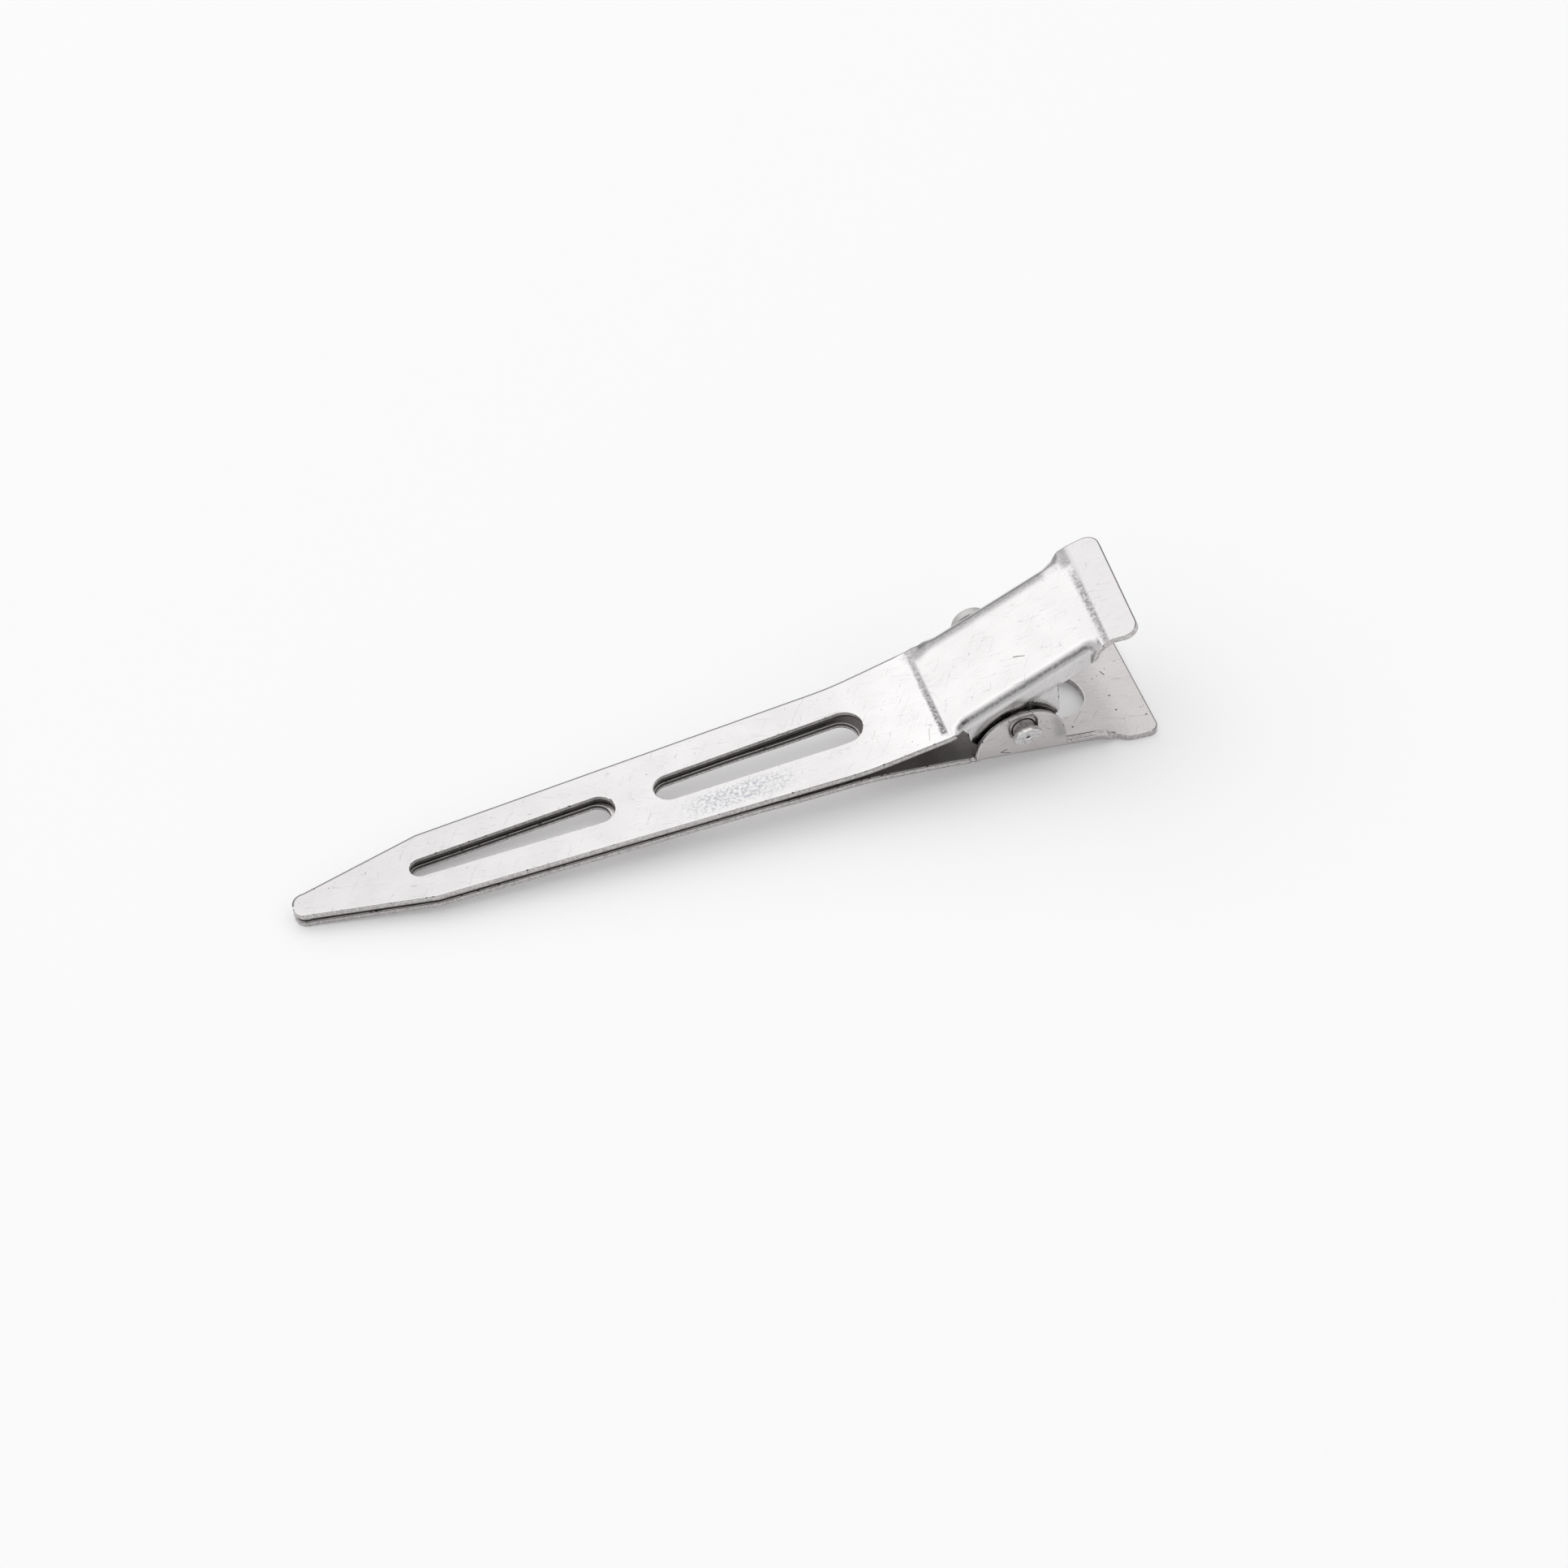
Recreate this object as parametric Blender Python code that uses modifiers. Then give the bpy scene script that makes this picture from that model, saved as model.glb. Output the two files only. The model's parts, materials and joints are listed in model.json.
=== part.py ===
"""Sheet-steel hair clip: two pressed jaws on one rivet, held shut by a leaf spring.

The clip is drawn in its own frame and then laid down as it rests on a table.
In the clip's frame X runs from the tips (0) to the tail, Z = 0 is the parting
plane between the closed blades, and +Y is the side with the rivet's head.
All lengths are metres.
"""

import math

import bmesh
import bpy
from mathutils import Matrix, Vector

# Sheet and the closed blades
SHEET = 0.00065
BLADE_GAP = 0.0002

# Blade outline, from the tips to the crease where the handle starts
TIP_RADIUS = 0.00125
SHOULDER_X = 0.0125
SHOULDER_HALF = 0.00387
CREASE_HALF = 0.0058

# Slots through both blades, from front to rear, between their rounds' centres
FRONT_SLOT_START_X = 0.01195
FRONT_SLOT_START_RADIUS = 0.0010
FRONT_SLOT_LENGTH = 0.01675
FRONT_SLOT_END_RADIUS = 0.00154
SLOT_BRIDGE = 0.0068
REAR_SLOT_START_RADIUS = 0.00148
REAR_SLOT_LENGTH = 0.0166
REAR_SLOT_END_RADIUS = 0.00185
REAR_SLOT_DRIFT = 0.0003
FRONT_SLOT_END_X = FRONT_SLOT_START_X + FRONT_SLOT_LENGTH
REAR_SLOT_START_X = FRONT_SLOT_END_X + SLOT_BRIDGE
REAR_SLOT_END_X = REAR_SLOT_START_X + REAR_SLOT_LENGTH

# Where the blades start to part, and the crease behind it
FLARE_SETBACK = 0.0005
FLARE_LENGTH = 0.0078
FLARE_ANGLE = math.radians(8.6)
FLARE_X = REAR_SLOT_END_X + FLARE_SETBACK
CREASE_X = FLARE_X + FLARE_LENGTH

# Pivot
PIVOT_SETBACK = 0.0069
PIVOT_HEIGHT = 0.0001
SHANK_RADIUS = 0.00108
SHANK_CLEARANCE = 0.0001
PIVOT_X = CREASE_X + PIVOT_SETBACK

# Handles: a channel with its sides turned in, and a flat tab at the tail
UPPER_HANDLE_ANGLE = math.radians(21.4)
LOWER_HANDLE_ANGLE = math.radians(11.5)
HANDLE_DRIFT = 0.00035
HOLE_SETBACK = 0.0046
HOLE_RADIUS = 0.0029
TAIL_SETBACK = 0.00905
UPPER_TAIL_ANGLE = math.radians(16.6)
LOWER_TAIL_ANGLE = math.radians(4.6)
UPPER_TAIL_LENGTH = 0.00255
LOWER_TAIL_LENGTH = 0.00345
UPPER_TAIL_SKEW = math.radians(2.5)
LOWER_TAIL_SKEW = 0.0
TAIL_HALF = 0.00632
TAIL_CORNER_RADIUS = 0.0011
HOLE_X = PIVOT_X + HOLE_SETBACK
TAIL_CREASE_X = PIVOT_X + TAIL_SETBACK
UPPER_TAIL_X = TAIL_CREASE_X + UPPER_TAIL_LENGTH
LOWER_TAIL_X = TAIL_CREASE_X + LOWER_TAIL_LENGTH

# Turned sides, measured from the handle's own centre line
UPPER_FLANGE_FACE = 0.00562
EAR_CLEARANCE = 0.00017
LOWER_FLANGE_FACE = UPPER_FLANGE_FACE + EAR_CLEARANCE + SHEET
UPPER_FLANGE_HEIGHT = 0.0026
LOWER_FLANGE_HEIGHT = 0.0010
UPPER_FOLD_RADIUS = 0.00110
LOWER_FOLD_RADIUS = 0.00080
FOLD_START_LENGTH = 0.0015
FOLD_END_LENGTH = 0.0014
FOLD_END_SETBACK = 0.00045

# Ears that carry the rivet: half ellipses hanging from the turned sides
UPPER_EAR_FRONT = 0.0050
UPPER_EAR_REAR = 0.00377
UPPER_EAR_BASE = 0.0010
UPPER_EAR_REACH = 0.0021
LOWER_EAR_FRONT = 0.0045
LOWER_EAR_REAR = 0.00395
LOWER_EAR_BASE = 0.00216
LOWER_EAR_REACH = 0.00185
EAR_REAR_STEP = 0.00015

# Dish pressed into the near lower ear round the rivet's end
DISH_RADIUS = 0.00135
DISH_RISE = 0.00030
DISH_DEPTH = 0.00035

# Softness of the pressed bends, along the clip
BEND_LENGTH = 0.0008
FLARE_BEND_LENGTH = 0.0036

# Rivet
HEAD_RADIUS = 0.00182
HEAD_THICKNESS = 0.0010
HEAD_RIM = 0.0008
HEAD_PLAY = 0.00086
END_PROTRUSION = 0.0010
END_RADIUS = 0.00134
END_LENGTH = 0.0005
END_CHAMFER = 0.00015
DIMPLE_RADIUS = 0.00028
DIMPLE_DEPTH = 0.0003

# Leaf spring round the rivet
SPRING_SHEET = 0.0004
SPRING_HALF_WIDTH = 0.0027
SPRING_BEND_CLEARANCE = 0.0003
SPRING_LEG_LENGTH = 0.0019
SPRING_SEAT_GAP = 0.0003
SPRING_CURL_LENGTH = 0.0006

# How finely curves are divided
TIP_STEPS = 5
BEND_STEPS = 3
FOLD_STEPS = 4
EAR_STEPS = 7
CORNER_STEPS = 4
ROUND_SIDES = 32
SPRING_STEPS = 10
SMOOTH_ANGLE = math.radians(35)

# Shares of a section's half width where its columns stand
PLATE_SHARES = (0.0, 0.5, 1.0)
FLANGE_SHARES = (0.5, 1.0)
FLAT_PLATE_SHARE = 0.78
FLAT_EDGE_SHARE = 0.6

# Cutters: their reach past what they cut, and the turn that lays one across the clip
OVERRUN = 0.002
ALONG_Y = Matrix.Rotation(math.pi / 2, 4, "X")
MERGE_DISTANCE = 0.000001

# Colour and roughness of each piece
UPPER_JAW_STEEL = ((0.72, 0.71, 0.70, 1.0), 0.32)
LOWER_JAW_STEEL = ((0.66, 0.64, 0.62, 1.0), 0.36)
RIVET_STEEL = ((0.78, 0.77, 0.76, 1.0), 0.25)
SPRING_STEEL = ((0.42, 0.41, 0.40, 1.0), 0.40)


def clear_scene():
    for item in list(bpy.context.scene.objects):
        bpy.data.objects.remove(item, do_unlink=True)


def new_collection(name):
    collection = bpy.data.collections.new(name)
    bpy.context.scene.collection.children.link(collection)
    return collection


def steel(name, finish):
    colour, roughness = finish
    material = bpy.data.materials.new(name)
    material.use_nodes = True
    shader = material.node_tree.nodes["Principled BSDF"]
    shader.inputs["Base Color"].default_value = colour
    shader.inputs["Metallic"].default_value = 1.0
    shader.inputs["Roughness"].default_value = roughness
    return material


def smooth_step(t):
    t = min(max(t, 0.0), 1.0)
    return t * t * (3.0 - 2.0 * t)


def bend_run(x, corner, length):
    """Distance past a bend at corner, eased over the bend's own length."""
    t = x - corner + length / 2
    if t <= 0:
        return 0.0
    if t >= length:
        return x - corner
    return t * t / (2 * length)


def spaced(start, end, count):
    return [start + (end - start) * i / count for i in range(count + 1)]


class Jaw:
    """One pressed jaw, drawn as the upper one; the lower one is its mirror image."""

    def __init__(self, handle_angle, tail_angle, tail_x, tail_skew, flange_face,
                 flange_height, fold_radius, ear_front, ear_rear, ear_base, ear_reach):
        self.handle_angle = handle_angle
        self.tail_angle = tail_angle
        self.tail_x = tail_x
        self.tail_skew = tail_skew
        self.flange_height = flange_height
        self.fold_radius = fold_radius
        self.fold_line = flange_face - fold_radius
        self.fold_release = TAIL_CREASE_X - FOLD_END_LENGTH
        self.fold_end = TAIL_CREASE_X - FOLD_END_SETBACK
        self.ear_front = ear_front
        self.ear_rear = ear_rear
        self.ear_base = ear_base
        self.ear_reach = ear_reach
        self.ear_start_x = PIVOT_X - ear_front
        self.ear_end_x = PIVOT_X + ear_rear

    def height(self, x):
        """Height of the outer face above the parting plane, on the centre line."""
        blade = BLADE_GAP / 2 + SHEET
        flare = math.tan(FLARE_ANGLE) * bend_run(x, FLARE_X, FLARE_BEND_LENGTH)
        handle_turn = math.tan(self.handle_angle) - math.tan(FLARE_ANGLE)
        tail_turn = math.tan(self.tail_angle) - math.tan(self.handle_angle)
        handle = handle_turn * bend_run(x, CREASE_X, BEND_LENGTH)
        tail = tail_turn * bend_run(x, TAIL_CREASE_X, BEND_LENGTH)
        return blade + flare + handle + tail

    def folded(self, x):
        """How far the sides are turned: 0 on the blade and the tail, 1 between them."""
        rise = (x - CREASE_X) / FOLD_START_LENGTH
        fall = (self.fold_end - x) / (self.fold_end - self.fold_release)
        return smooth_step(rise) * smooth_step(fall)

    def blade_half(self, x):
        if x < SHOULDER_X:
            share = (x - TIP_RADIUS) / (SHOULDER_X - TIP_RADIUS)
            taper = TIP_RADIUS + (SHOULDER_HALF - TIP_RADIUS) * share
            inset = max(TIP_RADIUS - x, 0.0)
            return min(taper, math.sqrt(TIP_RADIUS ** 2 - inset ** 2)) if inset else taper
        share = (x - SHOULDER_X) / (CREASE_X - SHOULDER_X)
        return SHOULDER_HALF + (CREASE_HALF - SHOULDER_HALF) * share

    def tail_half(self, x):
        inset = max(x - (self.tail_x - TAIL_CORNER_RADIUS), 0.0)
        corner = math.sqrt(max(TAIL_CORNER_RADIUS ** 2 - inset ** 2, 0.0))
        return TAIL_HALF - TAIL_CORNER_RADIUS + corner

    def ear_edge(self, x):
        """Height of the ear's rounded edge, below zero past the parting plane."""
        run = x - PIVOT_X
        reach = self.ear_front if run < 0 else self.ear_rear
        share = math.sqrt(max(1.0 - (run / reach) ** 2, 0.0))
        return self.ear_base - (self.ear_base + self.ear_reach) * share

    def side_drop(self, x):
        """How far the turned side reaches below the outer face."""
        ear = 0.0
        if self.ear_start_x <= x <= self.ear_end_x:
            ear = self.height(x) - self.ear_edge(x)
        flange = self.flange_height if x > PIVOT_X else 0.0
        return max(ear, flange)

    def folded_half(self, x):
        """Half width of the sheet where its sides are fully turned."""
        quarter = self.fold_radius * math.pi / 2
        return self.fold_line + quarter + max(self.side_drop(x) - self.fold_radius, 0.0)

    def blank_half(self, x):
        """Half width of the sheet, measured along it from the centre line."""
        if x <= CREASE_X:
            return self.blade_half(x)
        if x >= self.fold_end:
            return self.tail_half(x)
        if x < self.ear_start_x:
            share = smooth_step((x - CREASE_X) / (self.ear_start_x - CREASE_X))
            return CREASE_HALF + (self.folded_half(self.ear_start_x) - CREASE_HALF) * share
        if x > self.fold_release:
            share = (x - self.fold_release) / (self.fold_end - self.fold_release)
            turned = self.folded_half(x)
            return turned + (self.tail_half(x) - turned) * math.sqrt(smooth_step(share))
        return self.folded_half(x)

    def point(self, x, along):
        """A point of the outer face, a distance along the section from its middle."""
        side = 1.0 if along >= 0 else -1.0
        past = max(abs(along) - self.fold_line, 0.0)
        share = self.folded(x)
        angle = math.pi / 2 * share
        turned = min(past / self.fold_radius, angle)
        straight = past - self.fold_radius * turned
        out = self.fold_radius * math.sin(turned) + straight * math.cos(angle)
        down = self.fold_radius * (1.0 - math.cos(turned)) + straight * math.sin(angle)
        y = HANDLE_DRIFT * share + side * (min(abs(along), self.fold_line) + out)
        skewed = smooth_step((x - self.fold_release) / (TAIL_CREASE_X - self.fold_release))
        return Vector((x + y * math.tan(self.tail_skew) * skewed, y, self.height(x) - down))

    def columns(self, x):
        """Distances along one half section where the mesh has its columns."""
        half = self.blank_half(x)
        plate = min(self.fold_line, half * FLAT_PLATE_SHARE)
        full_arc = plate + self.fold_radius * math.pi / 2
        bend = min(full_arc, plate + (half - plate) * FLAT_EDGE_SHARE)
        inner = [plate * share for share in PLATE_SHARES]
        middle = spaced(plate, bend, FOLD_STEPS)[1:]
        outer = [bend + (half - bend) * share for share in FLANGE_SHARES]
        return inner + middle + outer

    def stations(self):
        """Places along the clip where the mesh has its cross sections."""
        tip = []
        for step in range(TIP_STEPS):
            angle = math.pi / 2 * (step + 1) / (TIP_STEPS + 1)
            tip.append(TIP_RADIUS * (1.0 - math.cos(angle)))
        blade = [TIP_RADIUS, SHOULDER_X]
        blade += spaced(FLARE_X - FLARE_BEND_LENGTH / 2, FLARE_X + FLARE_BEND_LENGTH / 2, BEND_STEPS)
        crease = spaced(CREASE_X - BEND_LENGTH / 2, CREASE_X + BEND_LENGTH / 2, BEND_STEPS)
        turn = spaced(CREASE_X + BEND_LENGTH, self.ear_start_x, BEND_STEPS)[:-1]
        front, rear = [], []
        for step in range(EAR_STEPS + 1):
            angle = math.pi / 2 * step / EAR_STEPS
            front.append(PIVOT_X - self.ear_front * math.cos(angle))
            rear.append(PIVOT_X + self.ear_rear * math.sin(angle))
        release = [self.ear_end_x + EAR_REAR_STEP]
        release += spaced(self.fold_release, self.fold_end, 2 * BEND_STEPS)
        tail = spaced(TAIL_CREASE_X, TAIL_CREASE_X + BEND_LENGTH / 2, BEND_STEPS - 1)
        corner = []
        for step in range(CORNER_STEPS + 1):
            angle = math.pi / 2 * step / CORNER_STEPS
            corner.append(self.tail_x - TAIL_CORNER_RADIUS * (1.0 - math.sin(angle)))
        return tip + blade + crease + turn + front + rear[1:] + release + tail + corner


def sheet_mesh(name, jaw, mirrored):
    """Lofts the sections of a jaw into one open sheet, its outer face outwards."""
    mesh = bpy.data.meshes.new(name)
    sheet = bmesh.new()
    rows = []
    for x in jaw.stations():
        half = jaw.columns(x)
        across = [-value for value in reversed(half[1:])] + half
        row = []
        for along in across:
            place = jaw.point(x, along)
            if mirrored:
                place.z = -place.z
            row.append(sheet.verts.new(place))
        rows.append(row)
    for near, far in zip(rows, rows[1:]):
        for i in range(len(near) - 1):
            corners = [near[i], far[i], far[i + 1], near[i + 1]]
            if mirrored:
                corners.reverse()
            sheet.faces.new(corners)
    sheet.to_mesh(mesh)
    sheet.free()
    return mesh


def add_object(name, mesh, collection, material=None):
    item = bpy.data.objects.new(name, mesh)
    collection.objects.link(item)
    if material:
        mesh.materials.append(material)
    return item


def add_empty(name, collection, location, parent=None):
    empty = bpy.data.objects.new(name, None)
    empty.location = location
    empty.parent = parent
    collection.objects.link(empty)
    return empty


def hide_cutter(item):
    item.hide_render = True
    item.display_type = "WIRE"


def slot_cutter(name, cutters, start, start_radius, end, end_radius, depth):
    """An upright prism with a round at each end, joined by straight sides."""
    mesh = bpy.data.meshes.new(name)
    slot = bmesh.new()
    for centre, radius in ((start, start_radius), (end, end_radius)):
        for level in (-depth / 2, depth / 2):
            place = Matrix.Translation(centre + Vector((0, 0, level)))
            bmesh.ops.create_circle(slot, segments=ROUND_SIDES, radius=radius, matrix=place)
    hull = bmesh.ops.convex_hull(slot, input=slot.verts)
    inside = [item for item in hull["geom_interior"] if isinstance(item, bmesh.types.BMVert)]
    bmesh.ops.delete(slot, geom=inside, context="VERTS")
    bmesh.ops.recalc_face_normals(slot, faces=slot.faces)
    slot.to_mesh(mesh)
    slot.free()
    cutter = add_object(name, mesh, cutters)
    hide_cutter(cutter)
    return cutter


def round_cutter(name, cutters, centre, radius, depth, turn):
    mesh = bpy.data.meshes.new(name)
    rod = bmesh.new()
    bmesh.ops.create_cone(
        rod, cap_ends=True, segments=ROUND_SIDES, radius1=radius, radius2=radius,
        depth=depth, matrix=Matrix.Translation(centre) @ turn)
    rod.to_mesh(mesh)
    rod.free()
    cutter = add_object(name, mesh, cutters)
    hide_cutter(cutter)
    return cutter


def cut(item, cutter):
    boolean = item.modifiers.new("cut_" + cutter.name, "BOOLEAN")
    boolean.operation = "DIFFERENCE"
    boolean.solver = "EXACT"
    boolean.object = cutter


def slot_cutters(cutters):
    depth = 2 * (SHEET + BLADE_GAP + OVERRUN)
    front = slot_cutter(
        "front_slot_cutter", cutters, Vector((FRONT_SLOT_START_X, 0, 0)), FRONT_SLOT_START_RADIUS,
        Vector((FRONT_SLOT_END_X, 0, 0)), FRONT_SLOT_END_RADIUS, depth)
    rear = slot_cutter(
        "rear_slot_cutter", cutters, Vector((REAR_SLOT_START_X, 0, 0)), REAR_SLOT_START_RADIUS,
        Vector((REAR_SLOT_END_X, REAR_SLOT_DRIFT, 0)), REAR_SLOT_END_RADIUS, depth)
    return [front, rear]


def pivot_cutter(cutters):
    """Bores all four ears for the rivet's shank."""
    depth = 2 * (LOWER_FLANGE_FACE + OVERRUN)
    centre = Vector((PIVOT_X, HANDLE_DRIFT, PIVOT_HEIGHT))
    return round_cutter("pivot_cutter", cutters, centre, SHANK_RADIUS + SHANK_CLEARANCE, depth, ALONG_Y)


def dish_cutter(cutters):
    near_face = HANDLE_DRIFT - LOWER_FLANGE_FACE
    centre = Vector((PIVOT_X, near_face - OVERRUN + DISH_DEPTH, PIVOT_HEIGHT + DISH_RISE))
    return round_cutter("dish_cutter", cutters, centre, DISH_RADIUS, 2 * OVERRUN, ALONG_Y)


def hole_cutter(cutters, jaw):
    turn = Matrix.Rotation(jaw.handle_angle, 4, "Y")
    centre = Vector((HOLE_X, 0, -jaw.height(HOLE_X)))
    return round_cutter("hole_cutter", cutters, centre, HOLE_RADIUS, 2 * (SHEET + OVERRUN), turn)


def build_jaw(name, jaw, mirrored, parts, material, holes):
    item = add_object(name, sheet_mesh(name, jaw, mirrored), parts, material)
    thickness = item.modifiers.new("sheet_thickness", "SOLIDIFY")
    thickness.thickness = SHEET
    thickness.offset = -1.0
    thickness.use_even_offset = True
    thickness.use_quality_normals = True
    for cutter in holes:
        cut(item, cutter)
    item.data.shade_smooth()
    item.data.set_sharp_from_angle(angle=SMOOTH_ANGLE)
    return item


def rivet_profile():
    """Radius and place along the shank, from the head's crown to the dimple."""
    head_seat = HANDLE_DRIFT + LOWER_FLANGE_FACE + HEAD_PLAY
    end = HANDLE_DRIFT - LOWER_FLANGE_FACE - END_PROTRUSION
    return [
        (0, head_seat + HEAD_THICKNESS),
        (HEAD_RADIUS / 2, head_seat + HEAD_THICKNESS - END_CHAMFER / 2),
        (HEAD_RADIUS - END_CHAMFER, head_seat + HEAD_RIM + END_CHAMFER),
        (HEAD_RADIUS, head_seat + HEAD_RIM),
        (HEAD_RADIUS, head_seat),
        (SHANK_RADIUS, head_seat),
        (SHANK_RADIUS, end + 2 * END_LENGTH),
        (END_RADIUS, end + END_LENGTH),
        (END_RADIUS, end + END_CHAMFER),
        (END_RADIUS - END_CHAMFER, end),
        (DIMPLE_RADIUS, end),
        (0, end + DIMPLE_DEPTH),
    ]


def build_rivet(parts, material):
    mesh = bpy.data.meshes.new("pivot_rivet")
    points = [(radius, 0, place) for radius, place in rivet_profile()]
    edges = [(i, i + 1) for i in range(len(points) - 1)]
    mesh.from_pydata(points, edges, [])
    item = add_object("pivot_rivet", mesh, parts, material)
    turned = item.modifiers.new("turned", "SCREW")
    turned.axis = "Z"
    turned.steps = ROUND_SIDES
    turned.render_steps = ROUND_SIDES
    turned.use_merge_vertices = True
    turned.merge_threshold = MERGE_DISTANCE
    turned.use_smooth_shade = True
    item.rotation_euler = (-math.pi / 2, 0, 0)
    return item


def spring_path(upper, lower):
    """Middle line of the spring: one leg, the bend round the rivet, the other leg."""
    radius = SHANK_RADIUS + SPRING_BEND_CLEARANCE + SPRING_SHEET / 2
    halves = []
    for jaw, side in ((upper, 1.0), (lower, -1.0)):
        wall = SHEET / math.cos(jaw.handle_angle)
        leg_end = jaw.height(PIVOT_X + SPRING_LEG_LENGTH)
        rise = leg_end - wall - SPRING_SEAT_GAP - SPRING_SHEET - side * PIVOT_HEIGHT
        run = SPRING_LEG_LENGTH
        turn = math.atan2(rise, run) + math.acos(radius / math.hypot(run, rise))
        slope = turn - math.pi / 2
        curl = (slope + jaw.handle_angle) / 2
        end = Vector((run, rise))
        arc = []
        for i in range(SPRING_STEPS + 1):
            angle = math.pi + (turn - math.pi) * i / SPRING_STEPS
            arc.append(Vector((radius * math.cos(angle), radius * math.sin(angle))))
        tip = end + SPRING_CURL_LENGTH * Vector((math.cos(curl), math.sin(curl) / 2))
        halves.append([(point.x, side * point.y) for point in arc + [end, tip]])
    return list(reversed(halves[0]))[:-1] + halves[1]


def build_spring(parts, material, upper, lower):
    mesh = bpy.data.meshes.new("leaf_spring")
    strip = bmesh.new()
    rows = []
    for x, z in spring_path(upper, lower):
        ends = (HANDLE_DRIFT - SPRING_HALF_WIDTH, HANDLE_DRIFT + SPRING_HALF_WIDTH)
        rows.append([strip.verts.new((x, y, z)) for y in ends])
    for near, far in zip(rows, rows[1:]):
        strip.faces.new([near[0], near[1], far[1], far[0]])
    strip.to_mesh(mesh)
    strip.free()
    item = add_object("leaf_spring", mesh, parts, material)
    thickness = item.modifiers.new("spring_thickness", "SOLIDIFY")
    thickness.thickness = SPRING_SHEET
    thickness.offset = 0.0
    thickness.use_even_offset = True
    return item


def move_origin(item, origin):
    """Puts an object's origin at a point of the clip's frame, its shape unmoved."""
    item.data.transform(Matrix.Translation(-origin))


def stand_on_table(root, items):
    """Shifts the clip until it rests on Z = 0, centred over the origin."""
    bpy.context.view_layer.update()
    graph = bpy.context.evaluated_depsgraph_get()
    corners = []
    for item in items:
        shown = item.evaluated_get(graph)
        corners += [shown.matrix_world @ vertex.co for vertex in shown.data.vertices]
    low = [min(corner[axis] for corner in corners) for axis in range(3)]
    high = [max(corner[axis] for corner in corners) for axis in range(3)]
    middle = Vector(((low[0] + high[0]) / 2, (low[1] + high[1]) / 2, low[2]))
    root.location = root.location - middle
    bpy.context.view_layer.update()


def upper_jaw_shape():
    return Jaw(
        handle_angle=UPPER_HANDLE_ANGLE, tail_angle=UPPER_TAIL_ANGLE, tail_x=UPPER_TAIL_X,
        tail_skew=UPPER_TAIL_SKEW, flange_face=UPPER_FLANGE_FACE,
        flange_height=UPPER_FLANGE_HEIGHT, fold_radius=UPPER_FOLD_RADIUS,
        ear_front=UPPER_EAR_FRONT, ear_rear=UPPER_EAR_REAR,
        ear_base=UPPER_EAR_BASE, ear_reach=UPPER_EAR_REACH)


def lower_jaw_shape():
    return Jaw(
        handle_angle=LOWER_HANDLE_ANGLE, tail_angle=LOWER_TAIL_ANGLE, tail_x=LOWER_TAIL_X,
        tail_skew=LOWER_TAIL_SKEW, flange_face=LOWER_FLANGE_FACE,
        flange_height=LOWER_FLANGE_HEIGHT, fold_radius=LOWER_FOLD_RADIUS,
        ear_front=LOWER_EAR_FRONT, ear_rear=LOWER_EAR_REAR,
        ear_base=LOWER_EAR_BASE, ear_reach=LOWER_EAR_REACH)


def main():
    clear_scene()
    parts = new_collection("hair_clip")
    cutters = new_collection("cutters")
    upper = upper_jaw_shape()
    lower = lower_jaw_shape()
    pivot = Vector((PIVOT_X, 0, PIVOT_HEIGHT))

    tail_drop = lower.height(LOWER_TAIL_X) - lower.height(0)
    rest_tilt = math.atan2(tail_drop, LOWER_TAIL_X)
    root = add_empty("clip_at_rest", parts, (0, 0, 0))
    root.rotation_euler = (0, -rest_tilt, 0)
    hinge = add_empty("jaw_pivot", parts, pivot, root)

    slots = slot_cutters(cutters)
    bores = pivot_cutter(cutters)
    dish = dish_cutter(cutters)
    hole = hole_cutter(cutters, lower)
    upper_holes = slots + [bores]
    lower_holes = slots + [bores, dish, hole]
    for cutter in lower_holes:
        move_origin(cutter, pivot)
        cutter.parent = hinge

    upper_steel = steel("upper_jaw_steel", UPPER_JAW_STEEL)
    lower_steel = steel("lower_jaw_steel", LOWER_JAW_STEEL)
    upper_jaw = build_jaw("upper_jaw", upper, False, parts, upper_steel, upper_holes)
    lower_jaw = build_jaw("lower_jaw", lower, True, parts, lower_steel, lower_holes)
    for jaw in (upper_jaw, lower_jaw):
        move_origin(jaw, pivot)
    rivet = build_rivet(parts, steel("rivet_steel", RIVET_STEEL))
    spring = build_spring(parts, steel("spring_steel", SPRING_STEEL), upper, lower)
    pieces = [upper_jaw, lower_jaw, rivet, spring]
    for piece in pieces:
        piece.parent = hinge
    stand_on_table(root, pieces)


main()
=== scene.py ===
# %% [markdown]
# # A pressed-steel hair clip
# The real clip is two long jaws stamped from thin nickel-plated steel, one rivet across
# their turned-in sides, and a small leaf spring hidden between them. The solid model
# already says where each piece is and how it moves. This file gives those pieces the
# finer shape and the finish that the eye sees, so it starts by loading that model.

# %% Load the solid model
import json
import math

import bpy
import numpy as np
from mathutils import Matrix


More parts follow.
